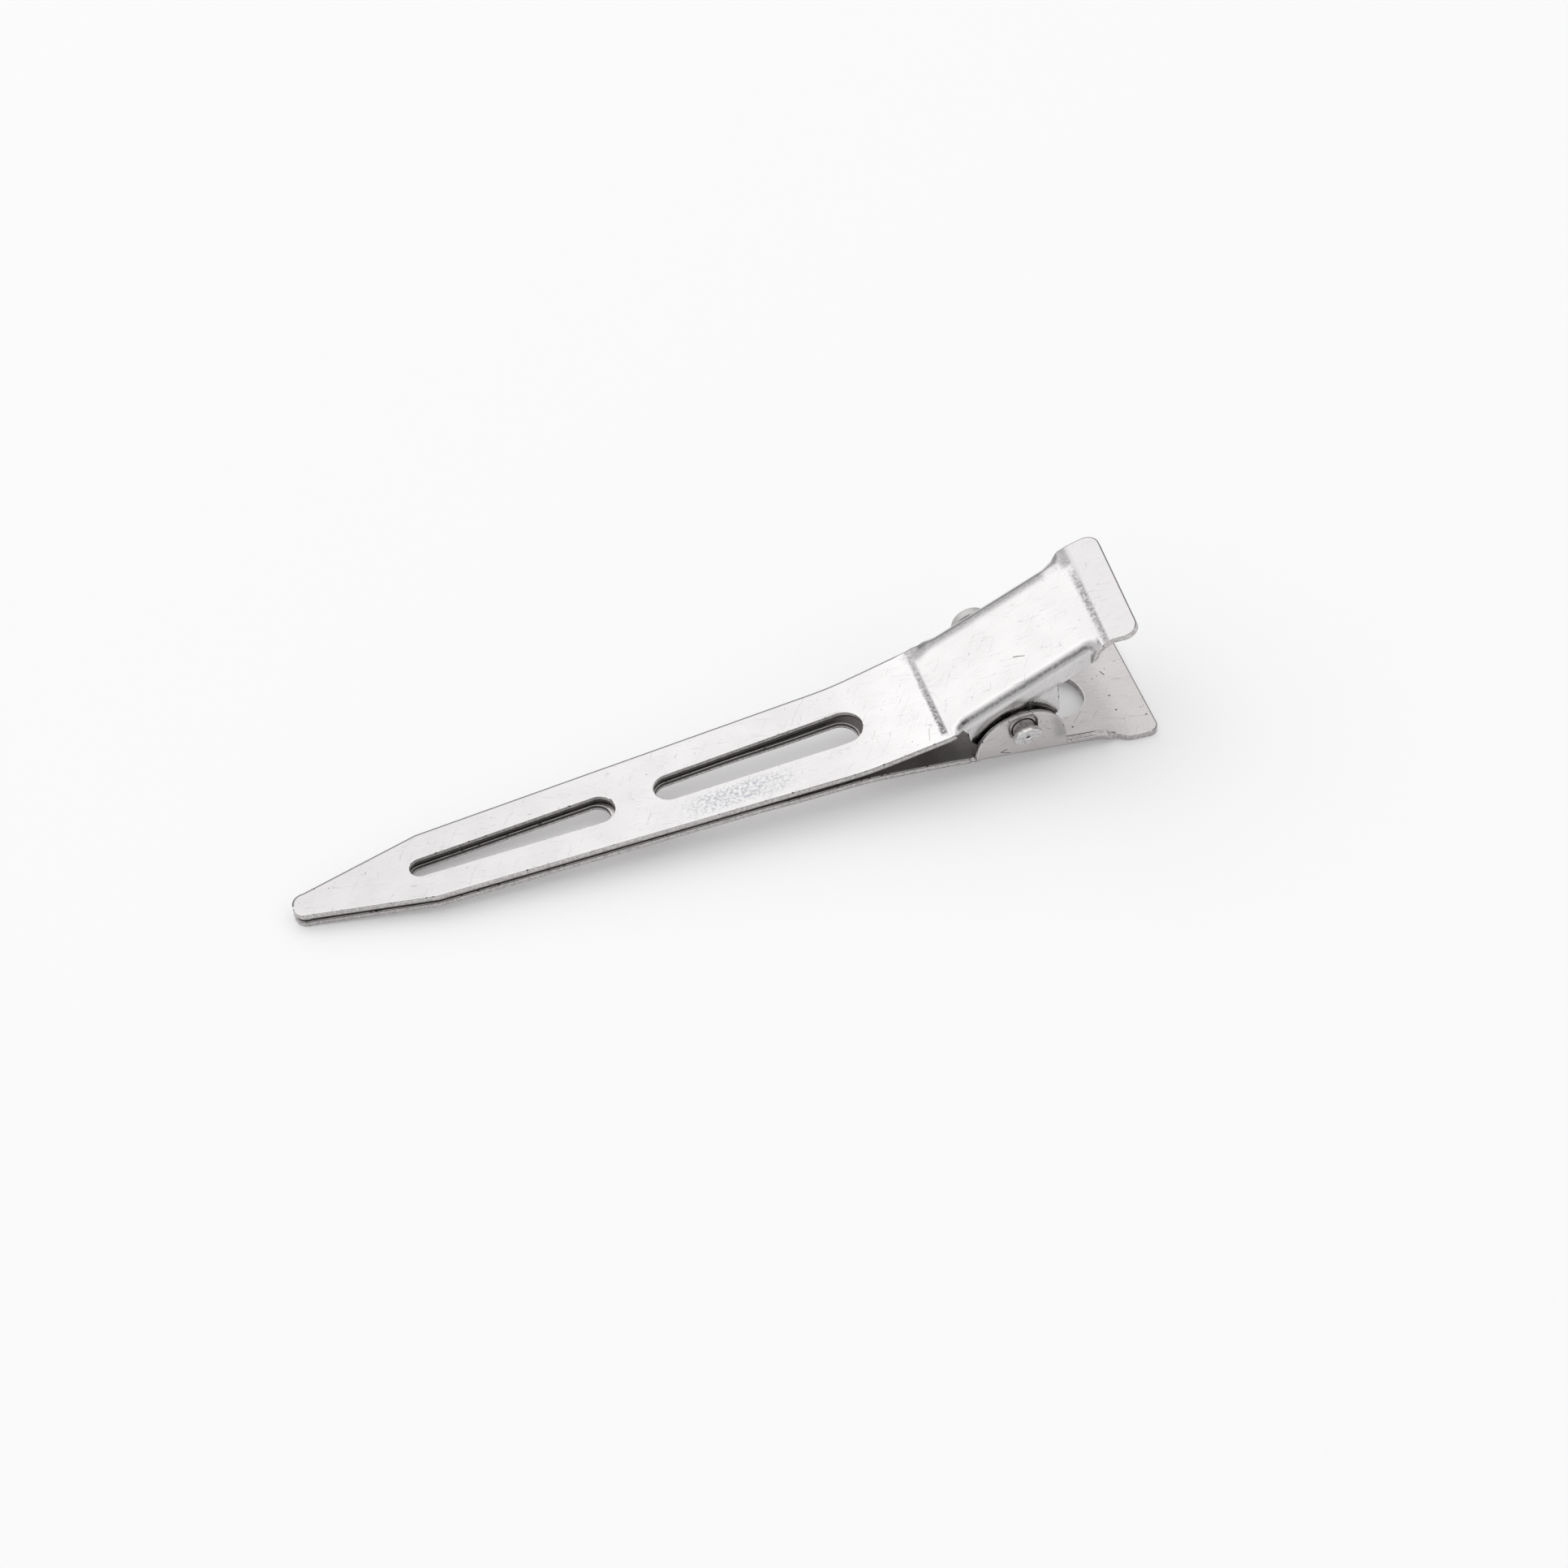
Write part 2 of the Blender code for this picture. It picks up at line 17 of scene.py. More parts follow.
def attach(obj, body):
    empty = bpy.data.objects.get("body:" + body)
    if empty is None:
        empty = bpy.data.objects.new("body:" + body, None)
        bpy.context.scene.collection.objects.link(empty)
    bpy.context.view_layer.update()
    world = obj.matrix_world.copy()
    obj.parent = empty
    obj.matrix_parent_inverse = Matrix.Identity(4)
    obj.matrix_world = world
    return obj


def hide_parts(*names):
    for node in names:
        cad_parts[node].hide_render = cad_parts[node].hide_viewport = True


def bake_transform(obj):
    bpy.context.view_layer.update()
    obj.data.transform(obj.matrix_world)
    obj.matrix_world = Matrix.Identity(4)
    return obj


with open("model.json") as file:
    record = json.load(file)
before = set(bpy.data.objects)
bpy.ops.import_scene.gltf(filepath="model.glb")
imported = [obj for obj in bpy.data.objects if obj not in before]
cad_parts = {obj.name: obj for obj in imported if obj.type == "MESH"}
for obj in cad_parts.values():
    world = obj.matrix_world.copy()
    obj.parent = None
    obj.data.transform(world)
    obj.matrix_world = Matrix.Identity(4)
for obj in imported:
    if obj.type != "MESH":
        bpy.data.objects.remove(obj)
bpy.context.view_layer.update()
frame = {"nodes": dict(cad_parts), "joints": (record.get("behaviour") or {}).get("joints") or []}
pivot_place = np.array(frame["joints"][0]["pos_m"])
print("solid pieces:", sorted(frame["nodes"]))
print("pivot at", pivot_place)

# %% [markdown]
# ## The drawing's own frame
# A clip like this is drawn flat, in millimetres: X runs from the tips to the tail, Z = 0
# is the plane where the closed blades meet, and +Y is the side with the rivet's head.
# On the table it leans back a little, because it rests on its lower tip and its lower
# tail. So each shape below is worked out in the drawing's frame and then laid down with
# one turn about the rivet.

# %% Sizes along the clip, in millimetres
MM = 0.001
SHEET = 0.65
BLADE_GAP = 0.2
TIP_RADIUS, TIP_POWER = 1.36, 2.3
SHOULDER_X, SHOULDER_HALF = 12.5, 3.87
FLARE_X, FLARE_LENGTH, FLARE_ANGLE = 52.6, 3.6, math.radians(8.6)
CREASE_X, CREASE_HALF = 60.4, 5.8
PIVOT_X, PIVOT_HEIGHT = 67.3, 0.1
PIVOT = np.array([PIVOT_X, 0.0, PIVOT_HEIGHT])
HANDLE_DRIFT = 0.35
TAIL_CREASE_X = 76.35
SAG_FROM, SAG_RISE, SAG_TO, SAG_FALL = 41.0, 7.0, 62.0, 12.0
DRIFT_RISE, DRIFT_TO, DRIFT_FALL = 1.5, 75.7, 1.6
SKEW_RISE = 1.4
TRIM_POWER = 0.6
UPPER_FACE = 5.62
LOWER_FACE = UPPER_FACE + 0.17 + SHEET
print("sheet", SHEET, "mm, outer ears", LOWER_FACE - SHEET - UPPER_FACE, "mm clear")


# %% Easing curves
def smooth_step(t):
    """An S-curve from 0 to 1: three t squared less two t cubed."""
    t = np.clip(t, 0.0, 1.0)
    return t * t * (3.0 - 2.0 * t)


def bend_run(x, corner, length):
    """Distance past a bend: a parabola over the bend's length, a straight line after it."""
    t = np.clip(x - corner + length / 2, 0.0, None)
    return np.where(t < length, t * t / (2 * length), x - corner)


# %% [markdown]
# ## A jaw as a bent blank
# A jaw starts as a flat blank, cut to outline with its slots, and is then bent. It could
# be modelled by hand as a folded plate. Here it is one function from the flat blank to
# the bent face, because outline, slots, folds and ears then stay separate, plain curves.


# %% One jaw as a bent sheet
class Jaw:
    """One pressed jaw. Its flat blank has x along the clip and s across the sheet.

    A side is -1 for the near one and 1 for the far one. fold, release and trim give, for
    each side, where along x the turned side starts and is full, where it is let out
    again, and where its edge is cut back to the tail's outline.
    """

    def __init__(self, slopes, bends, face, flange, radius, fold, swell_from, release, trim, ear, openings,
                 hole_line, tail_sides, skew=0.0, sag=0.0, spread=0.0, tail_crease=TAIL_CREASE_X):
        self.handle, self.tail = [math.radians(slope) for slope in slopes]
        self.bends, self.skew = bends, math.tan(math.radians(skew))
        self.flange, self.radius = flange, radius
        self.fold_line = face - radius
        self.fold, self.swell_from = fold, swell_from
        self.release, self.trim = release, trim
        self.ear_front, self.ear_rear, self.ear_base, self.ear_reach, self.ear_power = ear
        self.openings, self.hole_line, self.tail_sides = openings, hole_line, tail_sides
        self.sag, self.spread, self.tail_crease = sag, spread, tail_crease

    def height(self, x):
        """The outer face's height: half a gap and a sheet, then three eased slopes."""
        flare = math.tan(FLARE_ANGLE) * bend_run(x, FLARE_X, FLARE_LENGTH)
        turn = math.tan(self.handle) - math.tan(FLARE_ANGLE)
        level = math.tan(self.tail) - math.tan(self.handle)
        rise = turn * bend_run(x, CREASE_X, self.bends[0])
        rise = rise + level * bend_run(x, self.tail_crease, self.bends[1])
        sag = self.sag * smooth_step((x - SAG_FROM) / SAG_RISE) * smooth_step((SAG_TO - x) / SAG_FALL)
        return BLADE_GAP / 2 + SHEET + flare + rise + sag

    def folded(self, x, s):
        """How far the sides are turned in: 0 on blade and tail, 1 between them."""
        first, full = [np.where(s < 0, near, far) for near, far in zip(self.fold[-1], self.fold[1])]
        start, end = [np.where(s < 0, near, far) for near, far in zip(self.release[-1], self.release[1])]
        return smooth_step((x - first) / (full - first)) * smooth_step((end - x) / (end - start))

    def side_drop(self, x):
        """Depth of the turned side: half a superellipse for the ear, a flange behind it."""
        run = x - PIVOT_X
        share = np.abs(run) / np.where(run < 0, self.ear_front, self.ear_rear)
        power = np.where(run < 0, *self.ear_power)
        arch = np.clip(1.0 - share ** power, 0, 1) ** (1 / power)
        edge = self.ear_base - (self.ear_base + self.ear_reach) * arch
        ear = np.where(share <= 1, self.height(x) - edge, 0.0)
        return np.maximum(ear, np.where(run > 0, self.flange, 0.0))

    def folded_half(self, x):
        """Half width where the side is turned: up to the fold, its arc, then the drop."""
        drop = self.side_drop(x)
        arc = self.radius * np.arccos(np.clip(1 - drop / self.radius, 0, 1))
        return self.fold_line + arc + np.clip(drop - self.radius, 0, None)

    def blank_half(self, x, side):
        """Half width of the flat blank: round tip, taper, blade, swelling sides, tail."""
        taper = TIP_RADIUS + (SHOULDER_HALF - TIP_RADIUS) * (x - TIP_RADIUS) / (SHOULDER_X - TIP_RADIUS)
        inset = np.clip((TIP_RADIUS - x) / TIP_RADIUS, 0, 1)
        round_tip = TIP_RADIUS * (1 - inset ** TIP_POWER) ** (1 / TIP_POWER)
        tip = np.where(x < TIP_RADIUS, round_tip, taper)
        blade = SHOULDER_HALF + (CREASE_HALF - SHOULDER_HALF) * (x - SHOULDER_X) / (CREASE_X - SHOULDER_X)
        places, halves, corner = self.tail_sides[side]
        turn = np.clip(x - (places[-1] - corner), 0, corner)
        tail = np.interp(x, places, halves) - corner + np.sqrt(corner ** 2 - turn ** 2)
        start = PIVOT_X - self.ear_front
        at_start = self.folded_half(np.full_like(x, start + 1e-9))
        swelled = smooth_step((x - self.swell_from) / (start - self.swell_from))
        swell = CREASE_HALF + (at_start - CREASE_HALF) * swelled
        turned = self.folded_half(x)
        trim, end = self.trim[side]
        share = smooth_step((x - trim) / (end - trim)) ** TRIM_POWER
        return np.select(
            [x < SHOULDER_X, x <= self.swell_from, x < start, x <= trim, x < end],
            [tip, blade, swell, turned, turned + (tail - turned) * share], tail)

    def gap(self, x):
        """Half width of the slot or hole at x, and 0 where there is none."""
        wide = np.zeros_like(x)
        for start, start_radius, end, end_radius in self.openings:
            lean = math.asin((end_radius - start_radius) / (end - start)) if end > start else 0.0
            share = (x - start) / max(end - start, 1e-9)
            line = (start_radius + (end_radius - start_radius) * share) / math.cos(lean)
            first = np.sqrt(np.clip(start_radius ** 2 - (x - start) ** 2, 0, None))
            last = np.sqrt(np.clip(end_radius ** 2 - (x - end) ** 2, 0, None))
            inside = (x > start - start_radius * math.sin(lean)) & (x < end - end_radius * math.sin(lean))
            wide = np.maximum(wide, np.where(inside, line, np.where(x < (start + end) / 2, first, last)))
        return wide

    def middle(self, x):
        """The line that the slots and the hole are centred on."""
        return np.interp(x, [35.5, 52.1, 60.0, 65.0, 77.0], [0, 0.3, 0, *self.hole_line])

    def place(self, x, s):
        """The outer face: an arc past the fold line, then straight on. Half folds are rounder."""
        share = self.folded(x, s)
        angle = math.pi / 2 * share
        past = np.clip(np.abs(s) - self.fold_line, 0, None)
        radius = self.radius * (1 + self.spread * (1 - share))
        turned = np.minimum(past / radius, angle)
        straight = past - radius * turned
        out = radius * np.sin(turned) + straight * np.cos(angle)
        down = radius * (1 - np.cos(turned)) + straight * np.sin(angle)
        drift = HANDLE_DRIFT * smooth_step((x - self.fold[-1][0]) / DRIFT_RISE)
        drift = drift * smooth_step((DRIFT_TO - x) / DRIFT_FALL)
        y = drift + np.sign(s) * (np.minimum(np.abs(s), self.fold_line) + out)
        skewed = smooth_step((x - TAIL_CREASE_X + SKEW_RISE) / SKEW_RISE)
        return np.stack([x + y * self.skew * skewed, y, self.height(x) - down], axis=-1)

    def normal(self, x, s):
        """Outward normal: the cross product of the face's two slopes, by small steps."""
        step = 0.01
        along = self.place(x + step, s) - self.place(x - step, s)
        across = self.place(x, s + step) - self.place(x, s - step)
        out = np.cross(along, across)
        return out / np.linalg.norm(out, axis=-1, keepdims=True)


# %% The two jaws
# An opening is given by its two end centres and radii: x, radius, x, radius.
UPPER_SLOTS = [(11.95, 1.0, 28.7, 1.54), (35.5, 1.48, 52.1, 1.85)]
LOWER_SLOTS = [(11.9, 0.94, 28.35, 1.38), (35.4, 1.38, 51.8, 1.66)]
HOLE = (71.9, 2.842, 71.9, 2.842)
# Each side of a tail has its own half widths along x, and its corner's radius last.
UPPER_TAIL = {
    1: ([73.9, 74.6, 75.1, 75.6, 76.2, 76.9, 77.5, 78.98],
        [6.0, 6.03, 6.2, 6.42, 6.49, 6.46, 6.41, 6.3], 1.35),
    -1: ([74.3, 74.4, 74.55, 74.7, 74.85, 75.0, 75.2, 75.5, 76.05, 76.6, 77.12, 77.6, 78.98],
         [7.5, 7.22, 6.68, 6.38, 6.2, 6.1, 6.05, 6.02, 5.98, 6.02, 6.19, 6.37, 6.42], 1.1)}
LOWER_TAIL = {
    1: ([74.9, 79.85], [6.32, 6.32], 1.1),
    -1: ([75.3, 76.15, 76.83, 77.6, 79.85], [5.95, 6.13, 6.56, 6.66, 6.76], 0.95)}
LOWER_FOLD, LOWER_RELEASE = (61.8, 62.7), (74.95, 75.9)
upper = Jaw(
    slopes=(21.4, 16.6), bends=(0.6, 0.6), skew=2.5, face=UPPER_FACE, flange=2.6, radius=1.1,
    fold={-1: (60.85, 61.95), 1: (60.7, 63.28)}, swell_from=61.7,
    release={-1: (74.2, 75.3), 1: (73.74, 75.56)}, trim={-1: (74.1, 74.3), 1: (73.16, 74.17)},
    ear=(5.0, 3.77, 1.0, 2.1, (2.6, 2.0)), openings=UPPER_SLOTS, hole_line=(0.0, 0.0),
    tail_sides=UPPER_TAIL, spread=1.34, tail_crease=76.05)
lower = Jaw(
    slopes=(11.5, 4.6), bends=(1.4, 2.4), face=LOWER_FACE, flange=1.0, radius=0.8,
    fold={-1: LOWER_FOLD, 1: LOWER_FOLD}, swell_from=62.1,
    release={-1: LOWER_RELEASE, 1: LOWER_RELEASE}, trim={-1: LOWER_RELEASE, 1: LOWER_RELEASE},
    ear=(4.8, 3.87, 2.16, 2.13, (2.15, 2.15)), openings=LOWER_SLOTS + [HOLE],
    hole_line=(-HANDLE_DRIFT, -HANDLE_DRIFT), tail_sides=LOWER_TAIL, sag=0.17)
print("fold lines at", upper.fold_line, "and", round(lower.fold_line, 3), "mm from the middle")

# %% How the closed clip lies
ends = np.array([0.0, 79.8])
rest_tilt = math.atan2(float(np.diff(lower.height(ends))[0]), ends[1])
print("the clip leans by", round(math.degrees(rest_tilt), 3), "degrees")


def to_world(points):
    """Turns the drawing about the rivet by the lean, and puts the rivet on the hinge."""
    away = (points - PIVOT) * MM
    cos, sin = math.cos(rest_tilt), math.sin(rest_tilt)
    turned = np.stack([
        away[..., 0] * cos - away[..., 2] * sin, away[..., 1],
        away[..., 0] * sin + away[..., 2] * cos], axis=-1)
    return turned + pivot_place


# %% [markdown]
# ## From a blank to a closed sheet
# Stamping shears the sheet: the punch rolls the edge on one face and leaves a rough wall
# below. So the solid has an outer face and an inner face one sheet apart, both rounded
# near every edge, and a wall between them. Each half of the jaw is one grid whose inner
# line follows the slots, so the slots need no cutting.

# %% Stations and columns
EDGE_STEPS = np.array([0.0, 0.012, 0.03, 0.06, 0.1, 0.17])
ROLL, BURR, EAR_BURR = 0.085, 0.05, 0.42
BLADE_FROM, BLADE_TO, BLADE_STEP = 1.5, 60, 1.1
HANDLE_TO = 73.5
LEAST_STEP = 0.006
PLATE_COLUMNS, FOLD_COLUMNS, FLANGE_COLUMNS = 14, 12, 17
print("edges are stepped at", EDGE_STEPS.tolist(), "mm")


def stations(jaw):
    """Places of the cross sections: even steps, with arcs and edges stepped finely."""
    arc = np.linspace(0, math.pi / 2, 15)
    found = [TIP_RADIUS * (1 - np.cos(arc[1:] * 0.98 + 0.02))]
    found.append(np.arange(BLADE_FROM, BLADE_TO, BLADE_STEP))
    found.append(SHOULDER_X + np.array([-0.2, 0.0, 0.2]))
    for start, start_radius, end, end_radius in jaw.openings:
        found.append(start - start_radius * np.cos(arc))
        found.append(end + end_radius * np.cos(arc))
        found += [start - start_radius - EDGE_STEPS, end + end_radius + EDGE_STEPS]
    found.append(np.linspace(FLARE_X - 1.8, FLARE_X + 1.8, 9))
    found.append(np.linspace(CREASE_X - 0.4, CREASE_X + 0.4, 23))
    found.append(np.linspace(CREASE_X + 0.45, HANDLE_TO - 0.1, 90))
    ear = np.linspace(0, math.pi / 2, 22)
    found.append(PIVOT_X - jaw.ear_front * np.cos(ear))
    found.append(PIVOT_X + jaw.ear_rear * np.sin(ear))
    found.append(PIVOT_X + jaw.ear_rear + np.array([0.001, 0.02, 0.05, 0.09]))
    found.append(np.linspace(HANDLE_TO, jaw.tail_crease - 0.4, 30))
    found.append(np.linspace(jaw.tail_crease - 0.36, jaw.tail_crease + 0.36, 16))
    tail_end = jaw.tail_sides[1][0][-1]
    found.append(np.linspace(jaw.tail_crease + 0.45, tail_end - 1.2, 8))
    found.append(tail_end - 1.4 * (1 - np.sin(arc)))
    found.append(tail_end - EDGE_STEPS)
    x = np.unique(np.concatenate(found))
    x = x[(x > 0) & (x <= tail_end)]
    return x[np.append(np.diff(x) > LEAST_STEP, True)]


def columns(jaw, x, side):
    """Distances across one half: fine at both edges, even on plate, fold and flange."""
    inner = jaw.middle(x) * side + jaw.gap(x)
    half = jaw.blank_half(x, side)
    room = half - inner
    edges = EDGE_STEPS * np.minimum(1.0, room)[:, None]
    plate = np.minimum(jaw.fold_line, inner + 0.7 * room)
    bend = np.minimum(jaw.fold_line + jaw.radius * math.pi / 2, plate + 0.5 * (half - plate))
    first, last = inner + edges[:, -1], half - edges[:, -1]
    runs = [inner[:, None] + edges[:, :-1]]
    spans = ((first, plate, PLATE_COLUMNS), (plate, bend, FOLD_COLUMNS), (bend, last, FLANGE_COLUMNS))
    for low, high, count in spans:
        runs.append(low[:, None] + (high - low)[:, None] * np.arange(count) / count)
    runs.append(half[:, None] - edges[:, ::-1])
    return np.concatenate(runs, axis=1)


# %% Distance to the nearest sheared edge
def distance_to(points, line):
    """Shortest distance from each point to a chain of straight segments."""
    a, b = line[:-1], line[1:]
    run = b - a
    offset = points[:, None, :] - a
    share = np.clip((offset * run).sum(-1) / np.maximum((run * run).sum(-1), 1e-12), 0, 1)
    return np.linalg.norm(offset - share[..., None] * run, axis=-1).min(axis=1)


def edge_distance(jaw, x, across, side):
    """How far each grid point is from the nearest sheared edge of the blank."""
    half = jaw.blank_half(x, side)
    outline = np.stack([x, half], axis=1)
    outline = np.vstack([[x[0], -1], outline, [x[-1], -1]])
    flat = np.stack([np.broadcast_to(x[:, None], across.shape), across], axis=-1).reshape(-1, 2)
    nearest = distance_to(flat, outline)
    wide = jaw.gap(x)
    middle = np.repeat(jaw.middle(x) * side, across.shape[1])
    from_middle = flat - np.stack([np.zeros(len(flat)), middle], axis=1)
    for start, start_radius, end, end_radius in jaw.openings:
        near = (x >= start - start_radius - 0.01) & (x <= end + end_radius + 0.01)
        nearest = np.minimum(nearest, distance_to(from_middle, np.stack([x[near], wide[near]], axis=1)))
    return nearest.reshape(across.shape)


def rounded(distance, radius):
    """Drop of a rounded edge: a quarter circle that starts its radius from the edge."""
    inside = np.clip(radius - distance, 0, radius)
    return radius - np.sqrt(radius ** 2 - inside ** 2)


# %% The mesh itself
def put_mesh(name, points, faces, values):
    """Writes points, faces and named values per point straight into a mesh."""
    mesh = bpy.data.meshes.new(name)
    mesh.from_pydata(points.tolist(), [], faces)
    for label, value in values.items():
        kind = "FLOAT_VECTOR" if value.ndim == 2 else "FLOAT"
        layer = mesh.attributes.new(label, kind, "POINT")
        layer.data.foreach_set("vector" if value.ndim == 2 else "value", value.astype(np.float32).ravel())
    mesh.shade_smooth()
    mesh.set_sharp_from_angle(angle=math.radians(38))
    item = bpy.data.objects.new(name, mesh)
    bpy.context.scene.collection.objects.link(item)
    return item


# %% Faces and walls
def strip_faces(rows, reverse):
    """Quads between neighbours of a grid of point numbers."""
    quads = np.stack([rows[:-1, :-1], rows[1:, :-1], rows[1:, 1:], rows[:-1, 1:]], axis=-1).reshape(-1, 4)
    return quads[:, ::-1] if reverse else quads


def wall_faces(top, bottom):
    """Quads between two chains of point numbers, one above the other."""
    return np.stack([top[:-1], top[1:], bottom[1:], bottom[:-1]], axis=-1)


def through(outer, inner, first, last):
    """Quads through the sheet, each between two neighbours of the grid."""
    return np.stack([outer[first], outer[last], inner[last], inner[first]], axis=-1)


def loops(near, far, open_rows):
    """Edges of the sheet as chains: round the outline, and round each opening."""
    outline = np.concatenate([near[0, ::-1], far[0], far[1:, -1], far[-1, ::-1], near[-1], near[::-1, -1]])
    chains = [outline[np.append(True, np.diff(outline) != 0)]]
    for first, last in open_rows:
        chains.append(np.concatenate([near[first:last + 1, 0], far[first:last, 0][::-1]]))
    return chains


# %% Open the rivet's bores
BORE, BORE_FROM = 1.18, 4.6
print("bores of", BORE, "mm radius, in all that stands past", BORE_FROM, "mm from the middle")


def bored(outer, inner, points, keep_order):
    """Opens the rivet's bore: grid cells inside it go, their rim moves onto the circle."""
    run = points[outer] - PIVOT
    radius = np.hypot(run[..., 0], run[..., 2])
    turned = np.abs(run[..., 1]) > BORE_FROM
    inside = turned & (radius < BORE)
    cut = inside[:-1, :-1] & inside[1:, :-1] & inside[1:, 1:] & inside[:-1, 1:]
    for grid in (outer, inner):
        chosen = grid[inside]
        away = points[chosen] - PIVOT
        reach = BORE / np.maximum(np.hypot(away[:, 0], away[:, 2]), 1e-6)
        points[chosen, 0] = PIVOT_X + away[:, 0] * reach
        points[chosen, 2] = PIVOT_HEIGHT + away[:, 2] * reach
    i, j = np.nonzero(cut[1:] != cut[:-1])
    lead = cut[i + 1, j]
    ends = np.where(lead, j + 1, j), np.where(lead, j, j + 1)
    walls = [through(outer, inner, (i + 1, ends[0]), (i + 1, ends[1]))]
    i, j = np.nonzero(cut[:, 1:] != cut[:, :-1])
    lead = cut[i, j + 1]
    ends = np.where(lead, i, i + 1), np.where(lead, i + 1, i)
    walls.append(through(outer, inner, (ends[0], j + 1), (ends[1], j + 1)))
    walls = np.concatenate(walls)
    return cut, walls if keep_order else walls[:, ::-1]


# %% Build one jaw
INNER_LEVEL = 20.0
print("the blank's third number runs from 0 on the outer face to", INNER_LEVEL, "on the inner one")


def build_jaw(name, jaw, mirrored, press):
    """Both faces of both halves, and the walls round the outline and the openings."""
    x = stations(jaw)
    is_open = jaw.gap(x) > 0
    edges = np.flatnonzero(np.diff(is_open.astype(int)))
    open_rows = list(zip(edges[::2], edges[1::2] + 1))
    points, blank, rim, stain_and_shade, grids, used = [], [], [], [], [], 0
    for side in (-1, 1):
        across = columns(jaw, x, side)
        distance = edge_distance(jaw, x, across, side)
        along = np.broadcast_to(x[:, None], across.shape)
        s = across * side
        face, out = jaw.place(along, s), jaw.normal(along, s)
        if mirrored:
            flip = np.array([1.0, 1.0, -1.0])
            face, out = face * flip, out * flip
        push, painted_shade = press(along, s, face)
        pushed = face - out * push[..., None]
        thinned = mirrored & (np.abs(s) > jaw.fold_line + 1.0) & (x[:, None] < PIVOT_X + jaw.ear_rear)
        burr = np.where(thinned, EAR_BURR, BURR)
        for depth, level in ((rounded(distance, ROLL), 0.0), (SHEET - rounded(distance, burr), 1.0)):
            points.append((pushed - out * depth[..., None]).reshape(-1, 3))
            blank.append(np.stack([along, s, np.full_like(s, level * INNER_LEVEL)], axis=-1).reshape(-1, 3))
            rim.append(distance.ravel())
            # Painted shade from the press, on the outer face only.
            stain_and_shade.append((painted_shade * (1.0 - level)).ravel())
            grids.append(np.arange(used, used + across.size).reshape(across.shape))
            used += across.size
    points, blank, rim, stain_and_shade = [np.concatenate(parts) for parts in (points, blank, rim, stain_and_shade)]
    near_outer, near_inner, far_outer, far_inner = grids
    far_outer[~is_open, 0] = near_outer[~is_open, 0]
    far_inner[~is_open, 0] = near_inner[~is_open, 0]
    faces = []
    for outer, inner, reverse in ((far_outer, far_inner, False), (near_outer, near_inner, True)):
        cut, walls = bored(outer, inner, points, not reverse)
        kept = ~cut.ravel()
        faces += [strip_faces(outer, reverse)[kept], strip_faces(inner, not reverse)[kept], walls]
    for top, bottom in zip(loops(near_outer, far_outer, open_rows), loops(near_inner, far_inner, open_rows)):
        faces.append(wall_faces(top, bottom))
    faces = np.concatenate(faces)
    if mirrored:
        faces = faces[:, ::-1]
    kept, faces = np.unique(faces, return_inverse=True)
    faces = faces.reshape(-1, 4)
    values = {"blank": blank[kept], "rim": rim[kept], "stain_and_shade": stain_and_shade[kept]}
    item = put_mesh(name, to_world(points[kept]), faces.tolist(), values)
    print(name, len(kept), "points,", 2 * len(faces), "triangles")
    return item


# %% [markdown]
# ## What the press leaves
# Cold pressing leaves a groove where a bend is coined, a step where the inner ears are
# set in, and a round dish under the rivet's end. Bump alone would be lost at the outline
# and in the exported mesh, so these are true depths, added before the mesh is made.


# %% Marks that the press leaves in the faces
ARCH = np.array([
    (62.0, -1.2), (62.64, 0.33), (63.19, 0.5), (63.95, 1.02), (64.7, 1.54), (65.55, 2.1), (66.47, 2.49),
    (67.38, 2.65), (68.1, 2.6), (68.7, 2.36), (69.73, 1.64), (70.65, 0.59), (71.2, -0.6)])
DISH_X, DISH_Z, DISH_RADIUS, DISH_DEPTH = 67.2, 0.62, 1.42, 0.35
WAVES = ((0.3, 17.0, 0.4), (1.2, 9.0, 2.0), (-0.7, 11.0, 4.1), (2.2, 6.5, 5.0), (0.9, 5.0, 1.3))
WAVE_HEIGHT = 0.0016
COINED_X, TAIL_COINED_X = 60.25, 75.98
INSET, INSET_STEP = 0.2, 0.09
EAR_FROM, EAR_TO = 62.0, 71.3
print("the inner ears are pressed in by", INSET, "mm below a line of", len(ARCH), "points")


def waves(x, s, height):
    """Faint unevenness of rolled sheet: five slow waves in different directions."""
    total = np.zeros_like(x)
    for turn, length, phase in WAVES:
        total = total + np.sin((x * math.cos(turn) + s * math.sin(turn)) * 2 * math.pi / length + phase)
    return total * height


def crease(x, s, corner):
    """A groove where the bend was coined: a bell curve across it, ragged along it."""
    ragged = 0.75 + 0.25 * np.sin(s * 9.0) * np.sin(s * 3.7 + 1.0)
    shift = 0.02 * np.sin(s * 5.3) + 0.012 * np.sin(s * 13.0)
    return 0.045 * ragged * np.exp(-((x - corner - shift) / 0.11) ** 2)


